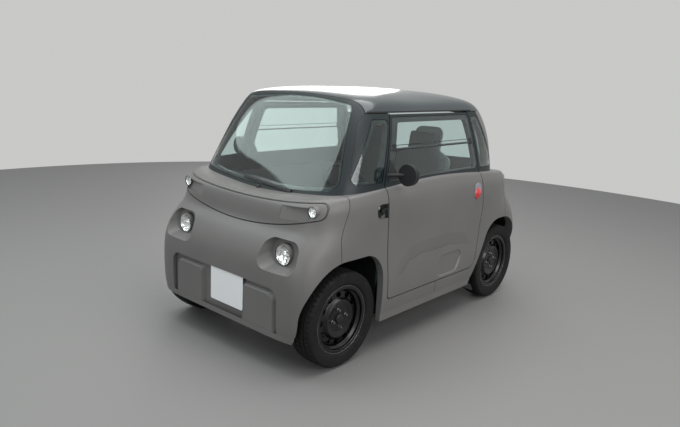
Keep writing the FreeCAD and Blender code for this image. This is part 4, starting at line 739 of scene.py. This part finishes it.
def wheels():
    """Every wheel: its name, the sign of its side, its centre and its body."""
    return [(end + "_" + side, sign, box_middle("tyre_" + end + "_" + side), "wheel_" + end + "_" + side)
            for end in ("front", "rear") for side, sign in SIDES]


def tyre_profile(radius, width, cut):
    """The outline from one bead over the tread to the other, through a plain part or a slot."""
    crown = radius - TYRE_CROWN
    bulge = width / 2 - TYRE_BEAD_X
    wall = [(-TYRE_TOE_X, TYRE_TOE_R), (-TYRE_BEAD_X, TYRE_BEAD_R)]
    rise = crown - TYRE_BEAD_R
    wall += [(-TYRE_BEAD_X - bulge * out, TYRE_BEAD_R + rise * up) for up, out in TYRE_WALL]
    wall.append((-TREAD_HALF - TREAD_ROUND, crown - TREAD_ROUND))
    stations = [-TREAD_HALF, -TREAD_SLOT_X, -TREAD_RIB_EDGE, -TREAD_RIB_EDGE + TREAD_ROUND]
    half = TREAD_GROOVE_W / 2
    for groove in TREAD_GROOVES_X:
        stations += [groove - half, groove - half + MM, groove + half - MM, groove + half]
        if groove < TREAD_GROOVES_X[-1]:
            stations.append(groove + TREAD_GROOVES_X[-1] / 2)
    stations += [TREAD_RIB_EDGE - TREAD_ROUND, TREAD_RIB_EDGE, TREAD_SLOT_X, TREAD_HALF]
    tread = []
    for x in stations:
        height = radius - TYRE_CROWN * (x / TREAD_HALF) ** 2
        near = min(abs(x - groove) for groove in TREAD_GROOVES_X)
        if near < half - MM / 2:
            height -= TREAD_GROOVE
        elif cut == 1 and abs(x) > TREAD_RIB_EDGE - TREAD_ROUND / 2:
            height -= TREAD_SLOT
        elif cut == 2 and TREAD_RIB[0] < abs(x) < TREAD_RIB[1]:
            height -= TREAD_RIB_SLOT
        tread.append((x, height))
    return wall + tread + [(-x, r) for x, r in reversed(wall)]


def add_tyres():
    """A treaded tyre on every wheel: three grooves, slotted shoulders and ribs."""
    pitch = 2 * math.pi / TREAD_PITCHES
    turns = [((i + share) * pitch, cut) for i in range(TREAD_PITCHES) for share, cut in TREAD_CUTS]
    for name, sign, centre, body in wheels():
        low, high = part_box("tyre_" + name)
        radius = (high[2] - low[2]) / 2 - TYRE_UNDER_R
        width = high[0] - low[0] - TYRE_UNDER_W
        profiles = [tyre_profile(radius, width, cut) for cut in range(3)]
        points = [around(along, reach, turn) for turn, cut in turns for along, reach in profiles[cut]]
        shape = points, skin_faces(len(turns), len(profiles[0]), looped=True)
        tyre = mesh_piece("tread_tyre_" + name, placed(shape, centre, (sign, 0, 0)), MATERIALS["tyre"],
                          "tyre", body)
        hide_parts("tyre_" + name)


def flange(name, sign):
    """The outer face of a rim: its place along X and its radius there."""
    low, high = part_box(name)
    middle = box_middle(name)
    face = high[0] if sign > 0 else low[0]
    reach = [math.hypot(v.co.y - middle.y, v.co.z - middle.z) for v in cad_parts[name].data.vertices
             if abs(v.co.x - face) < MM]
    return face, max(reach)


def add_wheel_hardware():
    """Bolts, centre cap, valve and a bright bead on each flange edge, a painted highlight, on every wheel."""
    zinc = bare_metal("zinc_bolt", ZINC, 0.34)
    flange_highlight_metal = bare_metal("flange_highlight", FLANGE_HIGHLIGHT_STEEL, 0.30)
    bolt = joined([BOLT_SEAT, BOLT_HEAD])
    for name, sign, centre, body in wheels():
        axis = Vector((sign, 0, 0))
        face = centre + axis * HUB_FACE
        turns = [BOLT_TURN + turn for turn in full_turn(BOLT_COUNT)]
        bolts = [placed(bolt, face + around(0, BOLT_CIRCLE_R, turn), axis, turn) for turn in turns]
        mesh_piece("bolts_" + name, joined(bolts), zinc, "wheel_steel", body)
        trim_piece("cap_" + name, placed(HUB_CAP, face, axis), body)
        # A bright bead round the flange's edge, a painted highlight
        rim_face, reach = flange("rim_" + name, sign)
        bead = [(EDGE_BEAD * math.cos(turn) * 0.5, reach + EDGE_BEAD * math.sin(turn))
                for turn in full_turn(EDGE_SIDES)]
        edge = placed(lathe(bead, EDGE_STEPS, True), (rim_face, centre.y, centre.z), axis)
        mesh_piece("rim_edge_" + name, edge, flange_highlight_metal, "wheel_steel", body)
        valve = placed(VALVE, centre + axis * VALVE_X + around(0, VALVE_R, VALVE_TURN), axis)
        mesh_piece("valve_" + name, valve, MATERIALS["tyre"], "tyre", body)


# ---- Lamps ----

# Kinds of lamp: the ring's wall, the lens's rise, how far the lens lies behind the foremost point of its
# housing, and the bowl's depth and petals. A lamp with more than this radius is a head or tail lamp.
LAMP_KINDS = {
    "head": (3.5 * MM, 11.0 * MM, 4.0 * MM, 26.0 * MM, 20),
    "marker": (1.8 * MM, 5.0 * MM, 10.0 * MM, 14.0 * MM, 14),
}
HEAD_MIN_R = 0.045
LAMP_GAP = 0.5 * MM
LENS_INSET = 1.0 * MM
LENS_THICK = 2.0 * MM
LENS_RINGS = 8
LENS_STEPS = 72
BOWL_RINGS = 7
BOWL_SCALLOP = 4.0 * MM
BOWL_BACK = 2.0 * MM

# Ring: its depth, its outer edge as (along, inset) and where its inner face turns. Gasket: (along, out).
RING_STEPS = 96
RING_DEPTH = 30.0 * MM
RING_EDGE = ((0.0, 0.0), (0.002, 0.0008), (0.0025, 0.002))
RING_LIP = (2.0 * MM, -4.0 * MM)
GASKET = ((0.0, -0.0012), (0.0032, -0.0008), (0.0032, 0.0010), (0.0, 0.0012))
LAMP_SHADE = lathe(((-0.022, 0.0), (-0.022, 0.012), (-0.008, 0.011), (-0.004, 0.008), (-0.003, 0.0)), 32)


def add_lamp_ring(name, centre, axis, radius, wall):
    """The ring round a lamp with its black gasket; returns the radius inside them."""
    inner = radius - wall
    ring = [(-RING_DEPTH, radius)] + [(along, radius - inset) for along, inset in RING_EDGE]
    ring += [(along, inner) for along in RING_LIP + (-RING_DEPTH,)]
    mesh_piece(name + "_ring", placed(lathe(ring, RING_STEPS, True), centre, axis), MATERIALS["body_plastic"],
               "body_plastic", "root")
    gasket = [(along, inner + out) for along, out in GASKET]
    trim_piece(name + "_gasket", placed(lathe(gasket, RING_STEPS, True), centre, axis))
    return inner - LENS_INSET


def add_lamps():
    """The head, tail and marker lamps, each with its ring, bowl and lens."""
    chrome, _ = new_material("lamp_chrome", CHROME, 0.07, Metallic=1.0)
    red = clear_glass("lamp_red", LENS_RED)
    for end, ahead in (("front", -1), ("rear", 1)):
        axis = Vector((0, ahead, 0))
        tint = MATERIALS["lamp_lens"] if end == "front" else red
        for index, mesh in enumerate(loose_copies(end + "_lamps")):
            low, high = mesh_box(mesh)
            middle = (low + high) / 2
            radius = (high.x - low.x) / 2 - LAMP_GAP
            kind = "head" if radius > HEAD_MIN_R else "marker"
            wall, rise, sink, depth, petals = LAMP_KINDS[kind]
            name = kind + "_lamp_" + end + ("_left" if middle.x > 0 else "_right")
            reach = high.y if ahead > 0 else -low.y
            centre = Vector((middle.x, ahead * (reach - rise - sink), middle.z))
            inner = add_lamp_ring(name, centre, axis, radius, wall)
            bowl = dish(inner, depth, BOWL_RINGS, petals, BOWL_SCALLOP)
            mesh_piece(name + "_bowl", placed(bowl, centre - axis * BOWL_BACK, axis), chrome, "lamp_lens",
                       "root", smooth=False)
            lens = placed(dome(inner + LAMP_GAP, rise, LENS_RINGS, LENS_STEPS, LENS_THICK), centre, axis)
            glass = mesh_piece(name + "_lens", lens, tint, "lamp_lens", "root")
            if kind == "head":
                mesh_piece(name + "_shade", placed(LAMP_SHADE, centre, axis), chrome, "lamp_lens", "root")
            if index == 0:
                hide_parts(end + "_lamps")


# ---- Plate and badge ----

# Blank plate in the bumper's bay
PLATE_W = 0.285
PLATE_H = 0.205
PLATE_X = 0.052
PLATE_Z = 0.384
PLATE_BEHIND = 4.0 * MM
PLATE = prism(rounded_loop(PLATE_W, PLATE_H, 10.0 * MM), -3.0 * MM, 0.0, 0.6 * MM)
BUFFER_X = 0.3 * PLATE_W
BUFFER_BACK = 1.5 * MM
BUFFER = lathe(((-0.022, 0.0), (-0.022, 0.012), (-0.002, 0.010), (-0.002, 0.0)), 24)

# Capsule badge on the left door, near its rear edge
BADGE_Y = 0.463
BADGE_Z = 0.868
BADGE_W = 0.084
BADGE_H = 0.110
BADGE_PLATE = prism(rounded_loop(BADGE_W, BADGE_H, BADGE_W / 2 - 0.5 * MM, 14), -4.0 * MM, 4.0 * MM, 1.5 * MM)
BADGE_DOME = dome(0.040, 15.0 * MM, 12, 64, 3.0 * MM)
BADGE_DOME_OUT = 3.5 * MM
BADGE_DOME_DOWN = (BADGE_H - BADGE_W) / 2 + 4.0 * MM
FLAT_ANGLE = 8.0


def add_plate():
    """The blank white plate in the bumper's bay, on two rubber buffers."""
    material, shader = new_material("plate_white", PLATE_WHITE, 0.5)
    vary_roughness(material, shader, 0.45, 0.55, 30.0)
    ahead = Vector((0, -1, 0))
    centre = Vector((PLATE_X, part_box("front_body")[0][1] + PLATE_BEHIND, PLATE_Z))
    points, faces = PLATE
    board = [centre + Vector((p.y, -p.x, p.z)) for p in points], faces
    mesh_piece("plate", board, material, "body_plastic", "root", angle=FLAT_ANGLE)
    back = centre + ahead * -BUFFER_BACK
    buffers = [placed(BUFFER, back + Vector((sign * BUFFER_X, 0, 0)), ahead) for _, sign in SIDES]
    trim_piece("plate_buffers", joined(buffers))


def add_badge():
    """A generic two-tone capsule: a lilac plate with a glossy red dome in its lower half."""
    place, normal = hit(surface(["door_left"]), side_ray(1), BADGE_Y, BADGE_Z)
    lilac, shader = new_material("badge_lilac", BADGE_LILAC, 0.35, Coat_Weight=0.4)
    vary_roughness(lilac, shader, 0.3, 0.4, 60.0)
    red, shader = new_material("badge_red", BADGE_RED, 0.18, Coat_Weight=0.8)
    vary_colour(red, shader, BADGE_RED, 40.0, 0.06)
    plate = placed(BADGE_PLATE, place, normal)
    mesh_piece("badge_plate", plate, lilac, "dark_trim", "door_left", angle=FLAT_ANGLE)
    low = place - UP * BADGE_DOME_DOWN + normal * BADGE_DOME_OUT
    mesh_piece("badge_dome", placed(BADGE_DOME, low, normal), red, "dark_trim", "door_left")


# ---- Seats ----

# Seat pads: the skin's voxels and how far it is drawn in, then how far the cloth is blown up
PAD_VOXEL = 7.0 * MM
PAD_SHRINK = 4.0 * MM
PAD_PRESSURE = 4.0
PAD_FRAMES = 18
PAD_CAP = 9.0 * MM
PAD_ANGLE = 80.0

# Sewn channels: for each pad the way across it, the way along it and their spacing
CHANNELS = {
    "cushion": (Vector((1, 0, 0)), Vector((0, 1, 0)), 0.11),
    "backrest": (Vector((-1, 0, 0)), Vector((0, 0.20, 0.98)), 0.15),
}
CHANNEL_DEPTH = 5.0 * MM
CHANNEL_W = 12.0 * MM
CHANNEL_FACING = 0.3


def remeshed(mesh):
    """A new object with an even voxel skin over a mesh, drawn in a little."""
    piece = bpy.data.objects.new("pad", mesh)
    bpy.context.collection.objects.link(piece)
    skin = piece.modifiers.new("skin", "REMESH")
    skin.mode = "VOXEL"
    skin.voxel_size = PAD_VOXEL
    soften = piece.modifiers.new("soften", "SMOOTH")
    soften.iterations = 6
    apply_modifiers(piece)
    for vertex in piece.data.vertices:
        vertex.co -= vertex.normal * PAD_SHRINK
    return piece


def inflate(piece):
    """Blows a closed skin up as cloth for some frames, no point further than a cap."""
    start = [vertex.co.copy() for vertex in piece.data.vertices]
    cloth = piece.modifiers.new("cloth", "CLOTH")
    cloth.settings.use_pressure = True
    cloth.settings.uniform_pressure_force = PAD_PRESSURE
    cloth.settings.effector_weights.gravity = 0.0
    cloth.settings.quality = 4
    cloth.point_cache.frame_start = 1
    cloth.point_cache.frame_end = PAD_FRAMES
    for step in range(1, PAD_FRAMES + 1):
        bpy.context.scene.frame_set(step)
    apply_modifiers(piece)
    for vertex, origin in zip(piece.data.vertices, start):
        move = vertex.co - origin
        if move.length > PAD_CAP:
            vertex.co = origin + move * (PAD_CAP / move.length)
    bpy.context.scene.frame_set(1)


def press_channels(piece, across, along, spacing):
    """Sewn channels: the front of a pad pulled in along lines that cross it."""
    points = [vertex.co for vertex in piece.data.vertices]
    middle = sum(points, Vector()) / len(points)
    normal = across.cross(along).normalized()
    for vertex in piece.data.vertices:
        if vertex.normal.dot(normal) < CHANNEL_FACING:
            continue
        place = (vertex.co - middle).dot(along) / spacing
        gap = abs(place - round(place)) * spacing
        if gap < CHANNEL_W:
            vertex.co -= normal * CHANNEL_DEPTH * (1 - gap / CHANNEL_W) ** 2


def add_seat_pads():
    """Cushions and backrests as blown-up cloth; the right seat repeats the left one's shapes."""
    shift = box_middle("seat_pads_right") - box_middle("seat_pads_left")
    for mesh, kind in zip(loose_copies("seat_pads_left"), ("cushion", "backrest")):
        piece = remeshed(mesh)
        inflate(piece)
        press_channels(piece, *CHANNELS[kind])
        smooth = piece.modifiers.new("smooth", "SUBSURF")
        smooth.levels = smooth.render_levels = 1
        apply_modifiers(piece)
        shape = piece.data
        bpy.data.objects.remove(piece)
        for side, move in (("left", Vector()), ("right", shift)):
            copy = shape.copy()
            copy.transform(Matrix.Translation(move))
            pad = finish_mesh("seat_" + kind + "_" + side, copy, MATERIALS["seat_fabric"], "seat_fabric",
                              "root", angle=PAD_ANGLE)
            if kind == "cushion":
                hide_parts("seat_pads_" + side)


# Seat belts: y at the upper anchor and at the waist, then places, sizes and profiles
BELT_Y = {"left": (0.508, 0.537), "right": (0.476, 0.572)}
BELT_TOP = (0.524, 1.27)
BELT_WAIST = (0.596, 1.0)
BELT_FOOT = (0.602, 0.55)
BELT_W = 0.046
BELT_THICK = 1.6 * MM
BELT_ANCHOR = lathe(((-0.034, 0.0), (-0.034, 0.014), (0.002, 0.014), (0.005, 0.011), (0.006, 0.0)), 32)
REEL_X = 0.6175
REEL_Z = (0.50, 0.60)
REEL_LOOP = rounded_loop(0.040, 0.056, 0.008, 3)


def add_belts():
    """A belt down the inside of each door post, from its upper anchor to its reel."""
    webbing, shader = new_material("belt_webbing", BELT_RED, 0.7, Sheen_Weight=0.3)
    vary_colour(webbing, shader, BELT_RED, 60.0, 0.1)
    for side, sign in SIDES:
        head_y, waist_y = BELT_Y[side]
        head, waist, foot = (Vector((sign * x, y, z)) for (x, z), y in
                             ((BELT_TOP, head_y), (BELT_WAIST, waist_y), (BELT_FOOT, waist_y)))
        belt = strap([head, waist, foot], BELT_W, BELT_THICK)
        mesh_piece("belt_" + side, belt, webbing, "seat_fabric", "root", smooth=False)
        reel = [(sign * REEL_X + u, waist_y + v) for u, v in REEL_LOOP]
        anchor = placed(BELT_ANCHOR, head, (-sign, 0, 0))
        trim_piece("belt_mounts_" + side, joined([column(reel, 2, *REEL_Z), anchor]))


# ---- Door trim ----

# The mirrors' corner panels (y, z)
MIRROR_CORNER = {
    "left": ((-0.524, 1.026), (-0.482, 1.140), (-0.472, 1.140), (-0.408, 1.026)),
    "right": ((-0.492, 1.026), (-0.470, 1.140), (-0.460, 1.140), (-0.385, 1.026)),
}
CORNER_STEP = 20.0 * MM
TRIM_RISE = 3.0 * MM
TRIM_BEVEL = 1.0 * MM

# Flip window: heights of its lines and of its brackets, how far both stand in from the pane's ends, and how
# much the front and rear ends of the pane lean over its height
FLIP_LINES = (1.190, 1.216)
FLIP_MIDDLE = 1.203
FLIP_INSET = 0.040
FLIP_LEAN = {"left": (0.11, 0.02), "right": (0.02, 0.11)}
FLIP_LINE_W = 4.0 * MM
FLIP_LINE_RISE = 2.0 * MM
FLIP_BRACKET = rounded_loop(0.030, 0.042, 0.008, 3)

# Mirror glass, just off the back of a mirror
MIRROR_R = 0.062
MIRROR_GLASS = lathe(((0.0015, 0.0), (0.0006, MIRROR_R - 0.0085), (0.0, MIRROR_R - 0.009), (0.0, 0.0)), 72)
MIRROR_OFF = 0.2 * MM


def add_door_trim():
    """On each door: the mirror's corner panel, the rubber lines of the flip window and its brackets."""
    for side, sign in SIDES:
        body = "door_" + side
        glass = surface(["door_windows_" + side, "door_frame_" + side])
        ray = side_ray(sign)
        corner = MIRROR_CORNER[side]
        corner = spaced(corner + corner[:1], CORNER_STEP)[:-1]
        trim_piece("mirror_corner_" + side, patch(glass, ray, corner, TRIM_RISE, TRIM_BEVEL), body)
        low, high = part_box("door_windows_" + side)
        parts = []
        for height in FLIP_LINES:
            lean = (height - low[2]) / (high[2] - low[2])
            first = low[1] + FLIP_INSET + lean * FLIP_LEAN[side][0]
            last = high[1] - FLIP_INSET - lean * FLIP_LEAN[side][1]
            parts.append(ribbon(glass, ray, [(first, height), (last, height)], FLIP_LINE_W, FLIP_LINE_RISE))
            for end in (first, last):
                loop = [(end + u, FLIP_MIDDLE + v) for u, v in FLIP_BRACKET]
                parts.append(patch(glass, ray, loop, TRIM_RISE, TRIM_BEVEL, 2))
        trim_piece("flip_trim_" + side, joined(parts), body)


def add_mirror_glass():
    """A silvered disc on the back of each round mirror."""
    silver = bare_metal("mirror_silver", SILVER, 0.02)
    for side, sign in SIDES:
        low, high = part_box("mirror_" + side)
        outer = high[0] if sign > 0 else low[0]
        centre = Vector((outer - sign * MIRROR_R, high[1] + MIRROR_OFF, high[2] - MIRROR_R))
        glass = placed(MIRROR_GLASS, centre, (0, 1, 0))
        mesh_piece("mirror_glass_" + side, glass, silver, "dark_trim", "door_" + side)


# ---- Body trim ----

# Air deflectors before the rear wheels: outline (y, z) and reach along X
DEFLECTOR = ((0.400, 0.203), (0.448, 0.203), (0.522, 0.176), (0.561, 0.126), (0.552, 0.120), (0.470, 0.158),
             (0.400, 0.188))
DEFLECTOR_X = (0.604, 0.662)

# Seams on the pillars, dark with painted shade, and a painted shadow line along the roof's lower edge, as
# paths (y, z)
PILLAR_SEAM = ((-0.610, 1.395), (-0.670, 1.345), (-0.760, 1.145), (-0.800, 1.020))
PILLAR_SEAM_W = 3.0 * MM
ROOF_SHADE_LINE = ((-0.595, 1.4015), (0.520, 1.4015))
ROOF_SHADE_LINE_W = 10.0 * MM
ROOF_SHADE_LINE_RISE = 0.6 * MM
SEAM_RISE = 0.4 * MM

# Cup at the back of each latch recess, a slot with one round end, and the lock in it
CUP_X = 0.6515
CUP_THICK = 3.0 * MM
CUP_EDGE_Y = -0.5475
CUP_ROUND_Y = -0.604
CUP_Z = 0.862
CUP_R = 0.042
CUP_STEPS = 12
LOCK_Z = 0.878
LOCK = lathe(((-0.002, 0.0), (-0.002, 0.0085), (0.003, 0.0085), (0.004, 0.007), (0.004, 0.0)), 32)

# Cap on the wiper's spindle
WIPER_CAP_Z = 0.930
WIPER_CAP = lathe(((-0.012, 0.0), (-0.012, 0.015), (0.010, 0.013), (0.014, 0.010), (0.0155, 0.0)), 40)

# The strip across each end, its edges' and middle line's heights at the strip's end and middle, and its
# shadow line
STRIP_HALF = 0.604
STRIP_R = 0.036
STRIP_HIGH = (0.944, 0.905)
STRIP_MIDDLE = (0.901, 0.835)
STRIP_LOW = (0.858, 0.766)
SEAM_STEPS = 10
SEAM_INSET = 1.6 * MM
SEAM_W = 3.6 * MM


def add_body_trim():
    """Deflectors before the rear wheels, dark lines of painted shade in the pillar seams and under the roof's
    edge, the cup and lock of each latch, the wiper's cap.
    """
    flaps = [column(DEFLECTOR, 0, *(sign * x for x in DEFLECTOR_X)) for _, sign in SIDES]
    trim_piece("deflectors", joined(flaps), smooth=False)
    # Near-black ribbons of painted shade: in the pillar seams and along the roof's lower edge
    for name, target, path, width, rise in (
            ("pillar_seams", surface(["cabin_frame"]), PILLAR_SEAM, PILLAR_SEAM_W, SEAM_RISE),
            ("roof_edge_shade", surface(["cabin_frame", "roof"]), ROOF_SHADE_LINE, ROOF_SHADE_LINE_W, ROOF_SHADE_LINE_RISE)):
        lines = [ribbon(target, side_ray(sign), path, width, rise) for _, sign in SIDES]
        mesh_piece(name, joined(lines), SEAM_SHADE, "dark_trim", "root")
    cup = [(CUP_EDGE_Y, CUP_Z - CUP_R), (CUP_EDGE_Y, CUP_Z + CUP_R)]
    for i in range(CUP_STEPS + 1):
        turn = math.radians(90 + 180 * i / CUP_STEPS)
        cup.append((CUP_ROUND_Y + CUP_R * math.cos(turn), CUP_Z + CUP_R * math.sin(turn)))
    trim_piece("latch_cups", turned_pair(column(cup, 0, CUP_X - CUP_THICK, CUP_X)))
    lock = placed(LOCK, (CUP_X, CUP_ROUND_Y, LOCK_Z))
    metal = bare_metal("lock_metal", LOCK_STEEL, 0.25)
    mesh_piece("door_locks", turned_pair(lock), metal, "dark_trim", "root")
    nose = surface(["cabin_frame", "front_body", "windscreen", "wiper"])
    trim_piece("wiper_cap", placed(WIPER_CAP, *hit(nose, front_ray, 0.0, WIPER_CAP_Z)))


def bow_height(x, half, end_z, middle_z):
    """The height at x of an arc through (-half, end_z), (0, middle_z) and (half, end_z)."""
    drop = end_z - middle_z
    radius = (half ** 2 + drop ** 2) / (2 * drop)
    return middle_z + radius - math.sqrt(radius ** 2 - x ** 2)


def strip_loop():
    """The outline of the strip across the nose in the front view (x, z), from its lower left corner round."""
    inner = STRIP_HALF - STRIP_R
    low = [(x, bow_height(x, STRIP_HALF, *STRIP_LOW))
           for x in (inner * (i / SEAM_STEPS) for i in range(-SEAM_STEPS, SEAM_STEPS + 1))]
    high = [(x, bow_height(x, STRIP_HALF, *STRIP_HIGH)) for x, _ in reversed(low)]
    loop = list(low)
    for sign, corner_low, corner_high in ((1, low[-1], high[0]), (-1, low[0], high[-1])):
        ends = []
        for (x, z), lift, start in ((corner_low, STRIP_R, -90), (corner_high, -STRIP_R, 0)):
            for i in range(SEAM_STEPS + 1):
                turn = math.radians(start + 90 * i / SEAM_STEPS)
                ends.append((x + sign * STRIP_R * math.cos(turn), z + lift + STRIP_R * math.sin(turn)))
        loop += ends + high if sign > 0 else ends[::-1]
    return loop + [loop[0]]


def add_strip_seams():
    """The shadow line round the strip across each end."""
    share = 1 - SEAM_INSET / STRIP_HALF
    path = []
    for x, z in strip_loop():
        below = z < bow_height(abs(x), STRIP_HALF + STRIP_R, *STRIP_MIDDLE)
        path.append((x * share, z + (SEAM_INSET if below else -SEAM_INSET)))
    front = ribbon(surface(["front_strip"]), front_ray, path, SEAM_W, SEAM_RISE)
    mesh_piece("strip_seams", turned_pair(front), SEAM_SHADE, "dark_trim", "root")


add_tyres()
add_wheel_hardware()
add_lamps()
add_plate()
add_seat_pads()
add_badge()
add_door_trim()
add_belts()
add_body_trim()
add_mirror_glass()
add_strip_seams()

dress_nodes()
add_floor()
add_world()
for light in LIGHTS:
    add_area(*light)
add_camera()
bpy.context.scene.view_settings.view_transform = "Standard"
